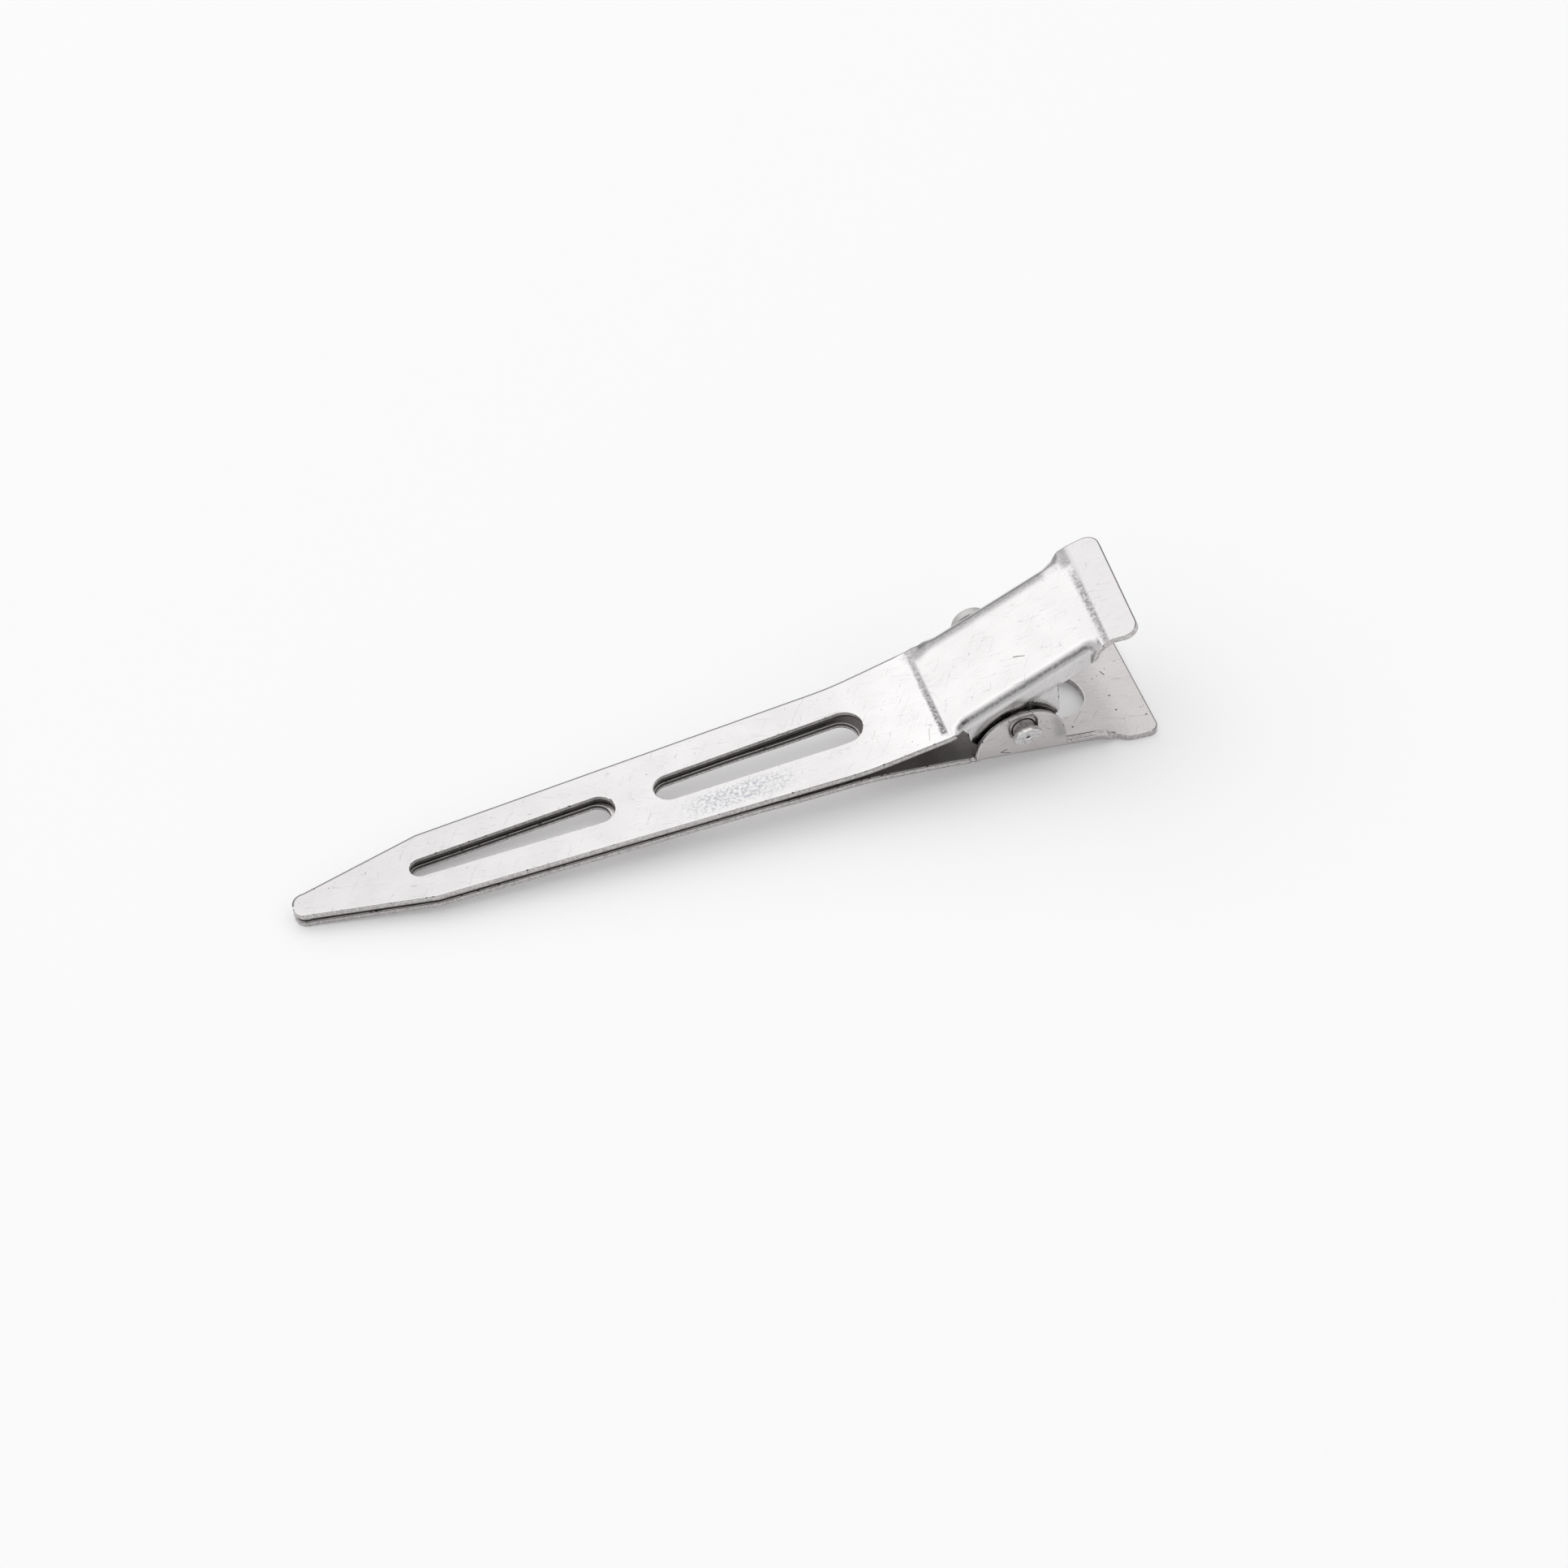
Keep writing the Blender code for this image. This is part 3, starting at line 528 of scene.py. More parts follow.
def upper_press(x, s, face):
    """Both creases and the inset ears: how far they are pushed in, and how much painted shade they get."""
    push = waves(x, s, WAVE_HEIGHT) + crease(x, s, COINED_X) + 0.6 * crease(x, s, TAIL_COINED_X)
    on_ear = (np.abs(s) > upper.fold_line + 1.0) & (x > EAR_FROM) & (x < EAR_TO)
    depth = np.interp(x, *ARCH.T) - face[..., 2] - 0.2 * smooth_step((x - 65.5) / 2.0)
    sunk = INSET * smooth_step(depth / np.interp(x, [66.8, 68.6], [0.75, 0.35]))
    above = face[..., 2] - upper.height(x) + np.interp(x, [68.1, 73.4], [2.23, 2.67])
    rear = smooth_step((x - 67.3) / 0.8)
    step = INSET_STEP * smooth_step((0.08 - above) / 0.12) * rear
    # Painted shade: dark on the inset ear below the arch, and a line under the flange's step.
    painted_shade = 0.85 * smooth_step((depth + 0.02) / 0.5)
    lip = 0.2 * smooth_step((above + 0.05) / 0.05) * smooth_step((0.4 - above) / 0.3) * rear
    return push + np.where(on_ear, sunk + step, 0.0), np.where(on_ear, np.maximum(painted_shade, lip), 0.0)


def lower_press(x, s, face):
    """The round dish that the rivet's end sits in, with painted shade towards its upper rim."""
    push = waves(x + 30.0, s, WAVE_HEIGHT)
    away = np.hypot(face[..., 0] - DISH_X, face[..., 2] - DISH_Z)
    dish = smooth_step((DISH_RADIUS - away) / 0.14) * (s < -lower.fold_line - 1.0)
    # Painted shade towards the dish's upper rim.
    painted_shade = 0.3 * smooth_step((face[..., 2] - DISH_Z - 0.5) / 0.7)
    return push + DISH_DEPTH * dish, dish * painted_shade


# %% Build both jaws
upper_jaw = build_jaw("upper_jaw_sheet", upper, False, upper_press)
lower_jaw = build_jaw("lower_jaw_sheet", lower, True, lower_press)
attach(upper_jaw, "upper_half")
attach(lower_jaw, "lower_half")
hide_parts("upper_jaw")
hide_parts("lower_jaw")

# %% [markdown]
# ## The rivet
# The rivet is a short turned pin: a flat head on the far side, and on the near side an
# end that a press has spread into a small cap. A turned piece is a profile carried round
# its axis, so one grid of radius and angle gives it. The hammered look comes from small
# round dents added to the two end faces.


# %% Beat the rivet's ends
HEAD_SEAT = HANDLE_DRIFT + LOWER_FACE + 0.86
END = HANDLE_DRIFT - LOWER_FACE - 0.92
DIMPLE_X, DIMPLE_Z = 0.02, -0.12
print("the rivet's head sits at", round(HEAD_SEAT, 3), "mm and its end at", round(END, 3), "mm")


def dents(x, z, centres, width, depth):
    """Round dents: the sum of one bell curve for each centre."""
    away = (x[..., None] - centres[:, 0]) ** 2 + (z[..., None] - centres[:, 1]) ** 2
    return (depth * np.exp(-away / width ** 2)).sum(axis=-1)


def beaten(x, y, z):
    """The near end leans with its height in two steps. Both ends have dents, one a dimple."""
    blows = np.random.default_rng(7).uniform(-1.2, 1.2, (26, 2))
    tilt = 0.12 * smooth_step((-5.7 - y) / 0.7) + 0.23 * smooth_step((-6.66 - y) / 0.3)
    near = dents(x, z, blows, 0.2, 0.014) + dents(x, z, np.array([[DIMPLE_X, DIMPLE_Z]]), 0.16, 0.45)
    far = dents(x, z, blows * 1.3, 0.4, 0.018)
    return y - tilt * z + np.where(y < END + 0.005, near, 0) - np.where(y > HEAD_SEAT + 0.9, far, 0)


# %% Turn the rivet
def turned_piece(name, profile, sides):
    """A profile of (radius, y) pairs carried round the Y axis, its ends drawn to a point."""
    angle = np.arange(sides) * 2 * math.pi / sides
    x = profile[:, :1] * np.cos(angle)
    z = profile[:, :1] * np.sin(angle)
    y = np.broadcast_to(profile[:, 1:], x.shape)
    uneven = 1.0 + (y < -6.5) * 0.015 * (np.sin(angle * 5 + 1) + np.sin(angle * 11))
    places = np.stack([x * uneven + PIVOT_X, beaten(x, y, z), z * uneven + PIVOT_HEIGHT], axis=-1)
    rings = np.arange(x.size).reshape(x.shape)
    rings = np.concatenate([rings, rings[:, :1]], axis=1)
    poles = np.stack([places[0].mean(axis=0), places[-1].mean(axis=0)])
    faces = strip_faces(rings, True).tolist()
    faces += [[x.size, b, a] for a, b in zip(rings[0].tolist(), rings[0, 1:].tolist())]
    faces += [[x.size + 1, a, b] for a, b in zip(rings[-1].tolist(), rings[-1, 1:].tolist())]
    item = put_mesh(name, to_world(np.vstack([places.reshape(-1, 3), poles])), faces, {})
    print(name, len(faces), "faces")
    return item


# %% The rivet's profile, from its head to its end
def softened(profile, count):
    """The profile's corners joined by many short steps, a fixed number to each line."""
    radius, y = np.array(profile).T
    at = np.arange(len(profile) - 1)
    fine = np.append((at[:, None] + np.arange(count) / count).ravel(), at[-1] + 1)
    return np.stack([np.interp(fine, np.arange(len(radius)), line) for line in (radius, y)], axis=1)


def raised(base, pairs):
    """Pairs of radius and height above the base, as pairs of radius and y."""
    return np.array(pairs) + [0.0, base]


SHANK = 1.08
HEAD = raised(HEAD_SEAT, [(0.02, 1.0), (0.8, 0.985), (1.35, 0.95), (1.62, 0.91)])
RIM = raised(HEAD_SEAT, [
    (1.74, 0.84), (1.8, 0.74), (1.82, 0.6), (1.82, 0.12), (1.79, 0.04), (1.73, 0.0), (1.16, 0.0),
    (1.1, -0.02)])
NECK = [(SHANK, y) for y in (HEAD_SEAT - 0.08, 4.0, -4.0, -5.6, -5.9, -6.2, END + 0.42)]
CAP = raised(END, [
    (1.1, 0.38), (1.18, 0.36), (1.27, 0.355), (1.33, 0.33), (1.35, 0.28), (1.35, 0.09), (1.33, 0.04),
    (1.27, 0.01)])
END_FACE = softened([(1.2, END), (0.02, END)], 22)
rivet = turned_piece("rivet_turned", np.vstack([softened(HEAD, 8), RIM, NECK, CAP, END_FACE]), 112)
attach(rivet, "lower_half")
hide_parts("pivot_rivet")

# %% [markdown]
# ## The leaf spring
# A strip of spring steel is folded round the rivet like a hairpin, and its two legs push
# the handles apart. It is a rounded rectangle carried along a bent path. On the real clip
# one leg follows each jaw when the clip opens.

# %% Bend the spring
SPRING_SHEET, SPRING_HALF, LEG, CURL = 0.4, 2.7, 1.9, 0.6
SPRING_ROOM, SPRING_CORNER = 0.3, 0.1
BLEND_REACH = np.array([0.0, 0.0, 1.2])
BEND_RADIUS = SHANK + SPRING_ROOM + SPRING_SHEET / 2
print("the spring bends at", round(BEND_RADIUS, 2), "mm round the rivet's middle")


def spring_half(jaw, side):
    """From the bend's back to one leg's end: an arc, a tangent line and a short curl."""
    seat = jaw.height(np.array([PIVOT_X + LEG]))[0] - SHEET / math.cos(jaw.handle) - SPRING_ROOM
    rise = seat - SPRING_SHEET - side * PIVOT_HEIGHT
    turn = math.atan2(rise, LEG) + math.acos(BEND_RADIUS / math.hypot(LEG, rise))
    angle = np.linspace(math.pi, turn, 40)
    arc = BEND_RADIUS * np.stack([np.cos(angle), np.sin(angle)], axis=1)
    end = np.array([LEG, rise])
    slope = (turn - math.pi / 2 + jaw.handle) / 2
    tip = end + CURL * np.array([math.cos(slope), math.sin(slope) / 2])
    share = np.linspace(0, 1, 9)[:, None]
    knee = end - (end - arc[-1]) * 0.3
    curl = knee * (1 - share) ** 2 + 2 * end * share * (1 - share) + tip * share ** 2
    return np.vstack([arc, curl]) * [1.0, side]


def bent_strip(name, path, half, thick):
    """A rounded rectangle carried along the path, closed by a smaller flat end."""
    along = np.gradient(path, axis=0)
    along /= np.linalg.norm(along, axis=1, keepdims=True)
    across = np.stack([-along[:, 1], along[:, 0]], axis=1)
    corner = np.linspace(0, math.pi / 2, 5)
    turns = np.concatenate([corner + quarter * math.pi / 2 for quarter in range(4)])
    wide = np.repeat([1, -1, -1, 1], 5) * (half - SPRING_CORNER) + SPRING_CORNER * np.cos(turns)
    deep = np.repeat([1, 1, -1, -1], 5) * (thick / 2 - SPRING_CORNER) + SPRING_CORNER * np.sin(turns)
    size = np.ones(len(path))
    size[[0, -1]] = 0.8
    centre = path[:, None, :] + across[:, None, :] * (deep[None, :, None] * size[:, None, None])
    wide = np.broadcast_to(wide, centre.shape[:2]) * (1 - (1 - size[:, None]) * 0.15)
    places = np.stack([PIVOT_X + centre[..., 0], HANDLE_DRIFT + wide, PIVOT_HEIGHT + centre[..., 1]], axis=-1)
    rings = np.arange(wide.size).reshape(wide.shape)
    ends = [rings[0, ::-1].tolist(), rings[-1].tolist()]
    rings = np.concatenate([rings, rings[:, :1]], axis=1)
    faces = strip_faces(rings, True).tolist() + ends
    flat = np.stack([np.cumsum(np.full(wide.shape, 0.1), axis=0), wide, np.zeros_like(wide)], axis=-1)
    item = put_mesh(name, to_world(places.reshape(-1, 3)), faces, {"blank": flat.reshape(-1, 3)})
    print(name, len(faces), "faces")
    return item


spring_path = np.vstack([spring_half(upper, 1.0)[::-1], spring_half(lower, -1.0)[1:]])
spring = bent_strip("spring_strip", spring_path, SPRING_HALF, SPRING_SHEET)
spring_ends = to_world(np.stack([PIVOT - BLEND_REACH, PIVOT + BLEND_REACH]))
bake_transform(spring)
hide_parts("leaf_spring")

# %% [markdown]
# ## Light, floor and camera
# The clip lies on a plain pale table under soft daylight. Metal shows what stands round
# it, so the light is mostly a pale room, which the world's colour gives. One large soft
# lamp behind on the left stands for a window: it makes the handle shine and gives the
# soft shadow. The camera's place was fitted to the photograph with the clip's own sizes.

# %% Camera at the photograph's view
azimuth, elevation, roll = 0.21929115, 0.84752284, -0.14825129
right = np.array([math.cos(azimuth), -math.sin(azimuth), 0])
back = np.array([
    -math.sin(azimuth) * math.cos(elevation), -math.cos(azimuth) * math.cos(elevation), math.sin(elevation)])
up = np.cross(back, right)
image_right = right * math.cos(roll) + up * math.sin(roll)
image_up = -right * math.sin(roll) + up * math.cos(roll)
gauge, lens, sensor = 1.078, 123.51, 36
eye_right, eye_up, eye_back = 2.80503395, -1.48581545, 450.0
eye = np.array([40.0, 0, 0]) + eye_right * image_right + eye_up * image_up + eye_back * back
world_eye = to_world(eye * gauge)
turn = np.array([to_world(v) - to_world(np.zeros(3)) for v in (image_right, image_up, back)]) / MM
camera = bpy.data.objects.new("camera", bpy.data.cameras.new("camera"))
bpy.context.scene.collection.objects.link(camera)
camera.matrix_world = Matrix([[*turn[:, i], world_eye[i]] for i in range(3)] + [[0, 0, 0, 1]])
camera.data.lens = lens
camera.data.sensor_width = sensor
camera.data.clip_start = 0.01
bpy.context.scene.camera = camera
print("camera at", world_eye)

# %% A plain pale floor
def plane(name, size):
    """A square of four corners on the table's height."""
    mesh = bpy.data.meshes.new(name)
    corners = np.array([(-1, -1, 0), (1, -1, 0), (1, 1, 0), (-1, 1, 0)]) * size
    mesh.from_pydata(corners.tolist(), [], [(0, 1, 2, 3)])
    item = bpy.data.objects.new(name, mesh)
    bpy.context.scene.collection.objects.link(item)
    return item


floor = plane("table_top", 3.0)
print("table", tuple(floor.dimensions), "m")


# %% A soft room and one large window
def aim(item, place, target):
    """Puts a lamp at a place, its own -Z axis towards the target."""
    way = np.array(target, float) - np.array(place, float)
    way /= np.linalg.norm(way)
    side = np.cross(way, [0.0, 0.0, 1.0])
    side /= np.linalg.norm(side)
    top = np.cross(side, way)
    item.matrix_world = Matrix([[side[i], top[i], -way[i], place[i]] for i in range(3)] + [[0, 0, 0, 1]])


def soft_lamp(name, place, size, brightness, colour):
    """A rectangular lamp. Its power is brightness times pi times a quarter of its area."""
    lamp = bpy.data.lights.new(name, "AREA")
    lamp.shape = "RECTANGLE"
    lamp.size, lamp.size_y = size
    lamp.energy = brightness * math.pi * size[0] * size[1] / 4
    lamp.color = colour
    item = bpy.data.objects.new(name, lamp)
    bpy.context.scene.collection.objects.link(item)
    aim(item, place, (0, 0, 0))
    return item


window_place, window_size, brightness = (-0.27, 0.66, 0.72), (1.2, 0.95), 0.88
window = soft_lamp("window", window_place, window_size, brightness, (1.0, 0.997, 0.993))
print("window lamp", round(window.data.energy, 2), "watts")

# %% [markdown]
# ## Shader arithmetic
# A pattern on steel is a sum: soft clouds, fine grain, a few scratches and specks, and
# the worn line along each edge. Written as Python sums, such a pattern stays readable,
# so one small class stands for a socket and adds a Math node for each operation.


# %% Sockets that add up
class Signal:
    """One output of a node. Sums, products and comparisons of signals add Math nodes."""

    def __init__(self, paint, socket):
        self.paint, self.socket = paint, socket

    def maths(self, operation, *others):
        return self.paint.node("ShaderNodeMath", {"operation": operation}, [self, *others])

    def __add__(self, other):
        return self.maths("ADD", other)

    def __sub__(self, other):
        return self.maths("SUBTRACT", other)

    def __mul__(self, other):
        return self.maths("MULTIPLY", other)

    def __pow__(self, other):
        return self.maths("POWER", other)

    def __rsub__(self, other):
        return self * -1.0 + other

    __radd__, __rmul__ = __add__, __mul__

    def above(self, low, high):
        """0 below low, 1 above high, and an S-curve between."""
        limits = {"Value": self, "From Min": low, "From Max": high}
        return self.paint.node("ShaderNodeMapRange", {"interpolation_type": "SMOOTHSTEP"}, limits)

    def below(self, low, high):
        return 1.0 - self.above(low, high)


def strongest(first, *others):
    """Several masks as one: the greatest of them at each place."""
    for other in others:
        first = first.maths("MAXIMUM", other)
    return first


# %% The nodes of one finish
class Paint:
    """The nodes of one material, or of the world."""

    def __init__(self, owner, shader="Principled BSDF"):
        owner.use_nodes = True
        self.owner, self.tree = owner, owner.node_tree
        self.shader = self.tree.nodes[shader]

    def node(self, kind, settings, sockets, output=0):
        """Adds a node: first its settings, then a value or a link for each socket."""
        made = self.tree.nodes.new(kind)
        for label, value in settings.items():
            setattr(made, label, value)
        pairs = sockets.items() if isinstance(sockets, dict) else enumerate(sockets)
        for label, value in pairs:
            self.feed(made.inputs[label], value)
        return Signal(self, made.outputs[output])

    def feed(self, socket, value):
        if isinstance(value, Signal):
            self.tree.links.new(value.socket, socket)
        elif socket.type == "RGBA" and len(value) == 3:
            socket.default_value = (*value, 1.0)
        else:
            socket.default_value = value

    def set(self, **sockets):
        for label, value in sockets.items():
            self.feed(self.shader.inputs[label.replace("_", " ")], value)

    def attribute(self, label, output):
        return self.node("ShaderNodeAttribute", {"attribute_name": label}, {}, output)

    def scaled(self, vector, scale, turn=0.0):
        """The vector turned about Z and multiplied part by part."""
        spin = {"Vector": vector, "Angle": turn}
        turned = self.node("ShaderNodeVectorRotate", {"rotation_type": "Z_AXIS"}, spin)
        return self.node("ShaderNodeVectorMath", {"operation": "MULTIPLY"}, [turned, scale])

    def noise(self, vector, scale, detail=2.0, rough=0.5):
        return self.node("ShaderNodeTexNoise", {"noise_dimensions": "3D"},
                         {"Vector": vector, "Scale": scale, "Detail": detail, "Roughness": rough})

    def cells(self, vector, scale, feature):
        return self.node("ShaderNodeTexVoronoi", {"feature": feature, "voronoi_dimensions": "3D"},
                         {"Vector": vector, "Scale": scale, "Randomness": 1.0}, "Distance")

    def mix(self, share, first, second):
        """Two colours by share. A Mix node's colours are its sockets 6 and 7, and output 2."""
        return self.node("ShaderNodeMix", {"data_type": "RGBA"}, {0: share, 6: first, 7: second}, 2)

    def parts(self, vector):
        """The three numbers of a vector."""
        return [self.node("ShaderNodeSeparateXYZ", {}, [vector], label) for label in "XYZ"]

    def relief(self, height, distance):
        """A Bump node for the Normal: the height in metres is height times distance."""
        return self.node("ShaderNodeBump", {}, {"Height": height, "Distance": distance, "Strength": 1.0})


# %% The room round the table
VIEWER = (-0.144, -0.646, 0.750)


def soft_room():
    """Daylight from behind and above, greyer at the far horizon and right, dark round the viewer."""
    paint = Paint(bpy.data.worlds.new("soft_room"), "Background")
    way = paint.node("ShaderNodeTexCoord", {}, {}, "Generated")
    x, y, z = paint.parts(way)
    light = y.above(-0.3, 0.5) * 0.4 + 0.56
    light = light - x.above(0.12, 0.42) * y.above(0.1, 0.5) * 0.27
    light = light * (1.0 - z.below(0.12, 0.42) * y.above(0.0, 0.4) * 0.62)
    light = light + z.above(0.6, 0.85) * y.above(-0.55, -0.15) * 0.25
    toward_viewer = paint.node("ShaderNodeVectorMath", {"operation": "DOT_PRODUCT"}, [way, VIEWER], "Value")
    light = light * (1.0 - toward_viewer.above(0.93, 0.985) * 0.75)
    paint.feed(paint.shader.inputs["Color"], paint.node("ShaderNodeCombineXYZ", {}, [light, light, light]))
    return paint.owner


bpy.context.scene.world = soft_room()
print("the room has", len(bpy.context.scene.world.node_tree.nodes), "nodes")

# %% [markdown]
# ## The finish of the sheet
# Nickel-plated sheet is never one flat colour. The plating is cloudy and faintly brushed
# along the strip, use leaves hairlines and dark specks, and the sheared edges are warmer
# and rougher than the faces. Each jaw carries its own flat-blank coordinates, so the
# pattern follows the sheet round its folds.


# %% Hairlines, specks and scratches
def band(value, centre, core, fade):
    """1 within the core of a line at the centre, falling to 0 over the fade."""
    return (value - centre).maths("ABSOLUTE").below(core, core + fade)


def marks(paint, sheet, amount):
    """Hairlines, short scratches and specks, each from 0 to 1."""
    wander = paint.noise(sheet, 0.16, 1.0)
    hair = band(wander, 0.5, 0.0006, 0.001) * paint.noise(sheet, 0.5).above(0.5, 0.56)
    scratches = []
    for turn, seed in ((0.35, 3.0), (-0.9, 11.0)):
        cell = paint.scaled(sheet, (0.22, 1.9, 1.0), turn)
        cell = paint.node("ShaderNodeVectorMath", {"operation": "ADD"}, [cell, (seed, seed, 0)])
        line = paint.cells(cell, 1.0, "DISTANCE_TO_EDGE").below(0.006, 0.02)
        scratches.append(line * paint.noise(cell, 1.7, 1.0).above(0.58, 0.66))
    pit = paint.cells(sheet, 0.8, "F1").below(0.03, 0.06)
    chosen = paint.noise(sheet, 0.9, 0.0).above(0.55, 0.6)
    return hair * amount, strongest(*scratches) * amount, pit * chosen * amount


def stroke(x, s, start, end, width):
    """One scratch: 1 on the straight line between two places on the blank, 0 away from it."""
    run = np.subtract(end, start)
    run = run / float(run @ run)
    along = (x - start[0]) * float(run[0]) + (s - start[1]) * float(run[1])
    along = along.maths("MINIMUM", 1.0).maths("MAXIMUM", 0.0)
    off_x = x - start[0] - along * float(end[0] - start[0])
    off_s = s - start[1] - along * float(end[1] - start[1])
    return (off_x * off_x + off_s * off_s).below(width ** 2 * 0.3, width ** 2)


def strokes(x, s, lines):
    """Several scratches, each from its start, end and width."""
    return strongest(*[stroke(x, s, *line) for line in lines])


# %% Nickel on sheet
# Of these colours, SHADE, the brown near-black of the hollows, the burr's near-black and DARK_LINE are
# painted shade, and the pale edge colour is a painted highlight.
SHADE, FROST, HOLLOW_SHADE = (0.16, 0.155, 0.16), (0.53, 0.545, 0.575), (0.055, 0.047, 0.042)
SCRATCH, PIT = (0.42, 0.41, 0.41), (0.07, 0.06, 0.055)
RIM_HIGHLIGHT, DARK_LINE = (0.95, 0.94, 0.93), (0.09, 0.09, 0.09)
DULL_WALL, PALE_WALL, BURR_SHADE = (0.60, 0.57, 0.57), (0.78, 0.75, 0.74), (0.05, 0.045, 0.045)
print("colours of the sheared wall:", DULL_WALL, PALE_WALL, BURR_SHADE)


def edge_masks(rim, x, s, level, outer):
    """Four masks from 0 to 1: the wall, painted shade at its burr and upper lip, a painted highlight along
    the near edges, and a painted dark line along the far edges.
    """
    wall = rim.below(0.002, 0.012)
    far = strongest(s.above(2.2, 2.4), x.below(10.3, 10.5) * s.above(0.1, 0.3), x.above(78.4, 78.8))
    # A painted highlight on the rounded edge except on the far side, and a painted dark line on the far
    # edges.
    rim_highlight = rim.below(0.03, 0.16) * (1.0 - wall) * (1.0 - far)
    thin = rim * (1.0 - x.below(59.0, 60.0) * 0.45)
    line = thin.below(0.06, 0.14) * (1.0 - wall) * far * strongest(outer, x.above(79.0, 79.2))
    # Painted shade on the wall: its lower half in the slots, its burr by the inner face, and its upper lip
    # along the blade's rear.
    slot = s.maths("ABSOLUTE").below(2.2, 2.4) * x.above(10.3, 10.5) * x.below(54.0, 54.5)
    outer_lip = level.below(0.8, 3.0) * x.above(30.0, 58.0) * 0.7
    burr = strongest(level.above(15.5, 18.5), level.above(7.0, 11.0) * slot, outer_lip)
    return wall, burr * x.below(73.9, 74.2), rim_highlight, line


def nickel_sheet(name, tone, depth, dull, amount, places):
    """Plated sheet: clouds, grain and brushing over the tone, painted shade and highlights, darker marks,
    warm walls.
    """
    paint = Paint(bpy.data.materials.new(name))
    sheet = paint.attribute("blank", "Vector")
    rim = paint.attribute("rim", "Fac")
    x, s, level = paint.parts(sheet)
    outer = level.below(4.0, 6.0)
    cloud = paint.noise(sheet, 0.33, 3.0)
    grain = paint.noise(sheet, 5.5, 3.0, 0.6)
    brush = paint.noise(paint.scaled(sheet, (0.35, 7.0, 1.0)), 1.0, 2.0)
    shear = paint.noise(paint.scaled(sheet, (4.5, 4.5, 0.06)), 1.0, 1.0).above(0.36, 0.64)
    hair, scratch, pit = marks(paint, sheet, amount)
    wall, burr, rim_highlight, line = edge_masks(rim, x, s, level, outer)
    nick = paint.noise(sheet, 2.1, 2.0).above(0.60, 0.68) * rim.below(0.02, 0.14)
    shade, frost, cuts = places(paint, sheet, x, s, outer, cloud)
    light, dark = [min(1.0, c * 1.03) for c in tone], [c * depth for c in tone]
    colour = paint.mix((cloud * 0.55 + grain * 0.15 + brush * 0.3).above(0.34, 0.66), dark, light)
    # The places' darker parts: painted shade on the upper jaw, mottling on the lower.
    colour = paint.mix(shade, colour, SHADE)
    colour = paint.mix(frost, colour, FROST)
    # A painted highlight along the near edges, and a painted dark line along the far ones.
    colour = paint.mix(rim_highlight * 0.35, colour, RIM_HIGHLIGHT)
    colour = paint.mix(line * 0.85, colour, DARK_LINE)
    # Painted shade darkens the sheared wall at its burr and lip.
    edge = paint.mix(burr * 0.92, paint.mix(shear, DULL_WALL, PALE_WALL), BURR_SHADE)
    colour = paint.mix(wall, colour, edge)
    # Painted shade in the inset ears, under the flange's step and in the rivet's dish.
    colour = paint.mix(paint.attribute("stain_and_shade", "Fac"), colour, HOLLOW_SHADE)
    colour = paint.mix(strongest(hair * 0.5, scratch * 0.6), colour, SCRATCH)
    colour = paint.mix(strongest(pit, nick, cuts), colour, PIT)
    rough = dull + (cloud - 0.5) * 0.06 + (grain - 0.5) * 0.10 + wall * 0.1 + pit * 0.3 + frost * 0.2
    height = grain * 0.2 + brush * 0.45 + paint.noise(sheet, 0.5, 1.0) * 2.0 - scratch * 0.6 - pit * 1.2
    paint.set(Base_Color=colour, Metallic=1.0, Roughness=rough, Normal=paint.relief(height, 0.000004 / depth))
    return paint.owner


# %% [markdown]
# ## Painted shade, wear and small cuts
# Creases, bends, the blade's tips and the tail's tab get painted shade, and handling leaves
# frosted patches and small cuts.
# They could be painted by hand on an image. Here each is a mask on the flat blank, a band
# or a stroke between two places, which needs no image and stays sharp at any size.


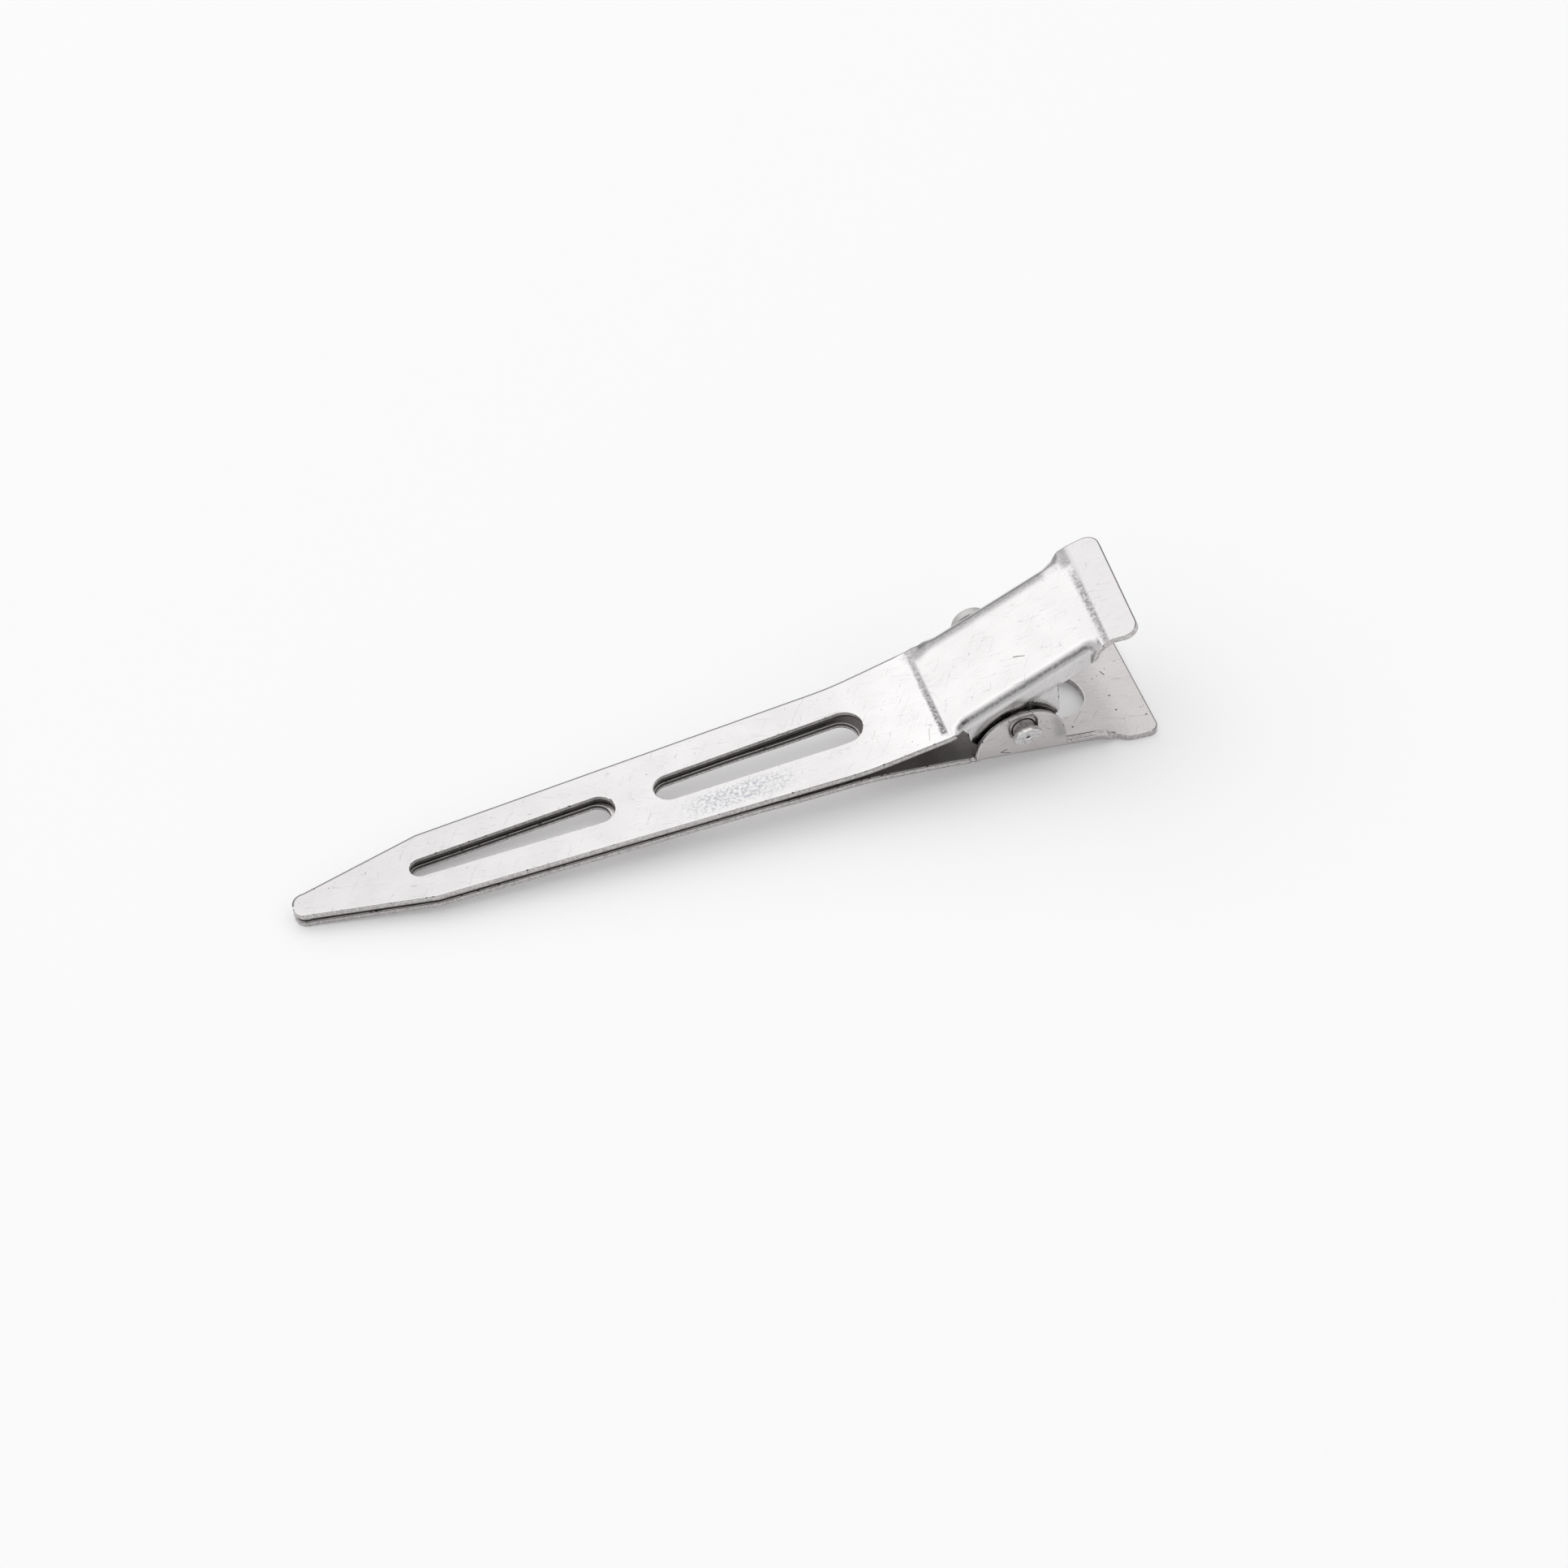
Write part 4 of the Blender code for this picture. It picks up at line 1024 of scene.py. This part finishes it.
# %% Where the upper jaw is dark or marked
def upper_places(paint, sheet, x, s, outer, cloud):
    """Painted shade on the upper jaw, from 0 to 1, where it is frosted, and its few scratches."""
    coarse = paint.noise(sheet, 3.2, 3.0, 0.7)
    hatch, ragged = coarse.above(0.42, 0.58), (coarse - 0.5) * 0.35
    # Painted shade: a ragged dark band in the handle's crease and the tail's crease, along the near bend and
    # round the flange's rear curl.
    handle_crease = band(x + ragged - s * 0.02, 60.22, 0.15, 0.28) * (hatch * 0.4 + 0.58)
    handle_crease = handle_crease * (s.below(-4.5, 5.0) * 0.35 + 0.65) * s.above(-5.4, -4.9)
    tail_crease = band(x + ragged, 75.94, 0.08, 0.5) * (hatch * 0.45 + 0.36) * s.below(1.6, 5.6)
    on_handle = x.above(61.0, 61.5) * x.below(73.6, 74.6)
    bend = band(s + ragged, -5.28, 0.1, 0.24) * on_handle * (hatch * 0.35 + 0.12 + x.below(61.9, 63.2) * 0.4)
    curl = strokes(x, s, [((73.8, -5.3), (74.46, -5.62), 0.16), ((74.46, -5.62), (74.73, -6.3), 0.16)])
    # Painted shade on the far bend, lighter in its middle and at the rear corner, and at the far end of the
    # tail's crease.
    middle = x.above(61.6, 62.8) * x.below(73.4, 74.4) * s.above(4.8, 5.2)
    corner = x.above(73.2, 74.0) * x.below(75.0, 75.7)
    far_bend = s.above(3.75, 4.6) * (1.0 - middle * 0.8) * x.above(59.3, 60.9) * x.below(75.9, 76.4)
    far_bend = far_bend * (0.62 + (hatch - 0.5) * 0.14 - corner * 0.5)
    far_crease = band(x, 76.2, 0.1, 0.35) * s.above(0.0, 3.0) * 0.24
    # Painted shade: the blade darker towards its tips, and the tail's tab darker.
    front = x.below(50.0, 62.0) * 0.14 + x.below(8.0, 40.0) * 0.11
    tab = x.above(76.1, 76.5) * (0.14 + cloud.above(0.4, 0.6) * 0.05)
    pressed = strongest(handle_crease, tail_crease, bend, curl * (hatch * 0.2 + 0.3), far_bend)
    frost = band(x, 41.0, 2.0, 5.0) * band(s + ragged, -3.2, 0.65, 0.9)
    frost = frost * coarse.above(0.47, 0.56) * cloud.above(0.25, 0.45)
    cuts = strokes(x, s, [((68.2, -1.95), (68.65, -2.2), 0.05), ((68.65, -2.2), (69.1, -2.53), 0.04),
                          ((77.68, 6.4), (78.1, 6.35), 0.1)])
    faint_cut = stroke(x, s, (59.05, -3.8), (58.65, -5.1), 0.035) * 0.5
    shade = strongest(pressed * outer, front, tab, far_crease)
    return shade, frost * outer, strongest(cuts, faint_cut) * outer


# %% Where the lower jaw is dark or marked
def lower_places(paint, sheet, x, s, outer, cloud):
    """The lower jaw is mottled grey, darker at its ears and tail, speckled darker along its flange, with a
    few cuts.
    """
    speckle = paint.noise(sheet, 7.0, 2.0, 0.7)
    mottle = speckle.above(0.45, 0.7) * 0.12 + cloud.above(0.4, 0.7) * 0.08
    flange = s.below(-5.9, -5.5) * x.above(71.0, 71.4) * x.below(75.2, 75.8)
    mottle = mottle + flange * speckle.above(0.35, 0.7) * 0.25 + x.above(73.0, 76.0) * 0.05
    mottle = mottle + s.below(-8.3, -7.4) * x.above(69.6, 70.6) * x.below(71.2, 71.5) * 0.35
    ear_cuts = strokes(x, s, [((64.83, -7.1), (65.44, -7.4), 0.05), ((64.97, -7.08), (65.72, -6.86), 0.05)])
    tail_cut = ((77.29, 1.87), (77.51, 1.36), 0.06)
    pricks = [(76.97, -1.26), (76.91, -3.15), (72.25, -4.58), (79.3, -4.6)]
    tail_cuts = strokes(x, s, [tail_cut] + [(place, (place[0] + 0.04, place[1]), 0.1) for place in pricks])
    return mottle, speckle.above(0.6, 0.8) * 0.3, strongest(ear_cuts * outer, tail_cuts)


# %% Finish both jaws
def coat(item, material):
    """Gives a piece its finish and says how much went into it."""
    item.data.materials.append(material)
    print(item.name, "gets", material.name, "of", len(material.node_tree.nodes), "nodes")


coat(upper_jaw, nickel_sheet("bright_nickel", (0.785, 0.77, 0.77), 0.94, 0.27, 1.0, upper_places))
coat(lower_jaw, nickel_sheet("worn_nickel", (0.75, 0.715, 0.712), 0.88, 0.33, 1.6, lower_places))


# %% [markdown]
# ## The rivet, the spring and the table
# The rivet is plated like the sheet, beaten bright at its end, with painted shade in its dimple.
# It has no blank to follow, so its pattern reads Object coordinates. The spring is plain
# dull steel. The table is white, a little brighter to the camera than to the clip, so
# that it looks white while it lights the metal evenly. Far behind the clip, its
# reflection in the metal is a painted dark grey.


# %% Nickel on the rivet
def nickel_turned(name, tone, dull):
    """Plated turned steel: a pale beaten end with painted shade in its dimple, greyer round its side."""
    paint = Paint(bpy.data.materials.new(name))
    place = paint.node("ShaderNodeTexCoord", {}, {}, "Object")
    place = paint.node("ShaderNodeVectorMath", {"operation": "SUBTRACT"}, [place, tuple(to_world(PIVOT))])
    place = paint.scaled(place, (1 / MM, 1 / MM, 1 / MM))
    x, y, z = paint.parts(place)
    mottle = paint.noise(place, 2.6, 3.0, 0.6)
    grain = paint.noise(place, 9.0, 2.0)
    cap = y.below(-6.2, -6.0)
    head = y.above(6.9, 7.1)
    end_face = (y + z * 0.35).below(END + 0.02, END + 0.09)
    away = ((x - DIMPLE_X) ** 2.0 + (z - DIMPLE_Z) ** 2.0) ** 0.5
    colour = paint.mix(mottle.above(0.36, 0.62), [c * 0.78 for c in tone], tone)
    colour = paint.mix(cap * (1.0 - end_face), colour, (0.62, 0.60, 0.59))
    colour = paint.mix(head, colour, (0.66, 0.655, 0.65))
    colour = paint.mix(end_face * mottle.above(0.4, 0.55), colour, (0.97, 0.965, 0.96))
    # Painted shade: the dimple is near black.
    colour = paint.mix(away.below(0.17, 0.23) * cap, colour, (0.03, 0.03, 0.03))
    rough = dull + (mottle - 0.5) * 0.2 + (grain - 0.5) * 0.2 + head * 0.3
    height = mottle * 0.8 + grain * 0.4
    paint.set(Base_Color=colour, Metallic=1.0, Roughness=rough, Normal=paint.relief(height, 0.000014))
    return paint.owner


coat(rivet, nickel_turned("rivet_nickel", (0.84, 0.83, 0.82), 0.28))


# %% Spring steel
def spring_steel():
    """Dull grey steel, brushed along the strip, with darker heat stains."""
    paint = Paint(bpy.data.materials.new("spring_steel"))
    strip = paint.attribute("blank", "Vector")
    brush = paint.noise(paint.scaled(strip, (0.6, 9.0, 1.0)), 1.0, 3.0)
    stain_and_shade = paint.noise(strip, 0.8, 2.0)
    grain = paint.noise(strip, 8.0, 2.0)
    colour = paint.mix(stain_and_shade.above(0.35, 0.65), (0.34, 0.33, 0.33), (0.46, 0.45, 0.44))
    colour = paint.mix(brush.above(0.5, 0.8) * 0.5, colour, (0.6, 0.59, 0.58))
    rough = 0.38 + (grain - 0.5) * 0.2 + (stain_and_shade - 0.5) * 0.1
    paint.set(Base_Color=colour, Metallic=1.0, Roughness=rough)
    paint.set(Normal=paint.relief(brush * 0.6 + grain * 0.3, 0.00001))
    return paint.owner


coat(spring, spring_steel())


# %% The table
def table_white():
    """A white diffuse surface, lifted a little where the camera or a gloss sees it; far behind the clip,
    reflections see it as a painted dark grey.
    """
    paint = Paint(bpy.data.materials.new("table_white"))
    ray = paint.node("ShaderNodeLightPath", {}, {}, "Is Camera Ray")
    gloss = paint.node("ShaderNodeLightPath", {}, {}, "Is Glossy Ray")
    lift = ray * 0.185 + gloss * 0.03
    glow = paint.node("ShaderNodeCombineXYZ", {}, [lift, lift, lift * 1.01])
    place = paint.node("ShaderNodeTexCoord", {}, {}, "Object")
    behind = paint.node("ShaderNodeSeparateXYZ", {}, [place], "Y")
    # Painted reflection: far behind the clip the table is dark grey to glossy rays.
    far = gloss * behind.above(0.04, 0.16)
    paint.set(Base_Color=paint.mix(far, (0.965, 0.965, 0.97), (0.36, 0.36, 0.37)))
    paint.set(Roughness=0.7, Specular_IOR_Level=0.2)
    paint.set(Emission_Color=glow, Emission_Strength=1.0)
    return paint.owner


coat(floor, table_white())

# %% Finish
bpy.context.scene.view_settings.view_transform = "Standard"
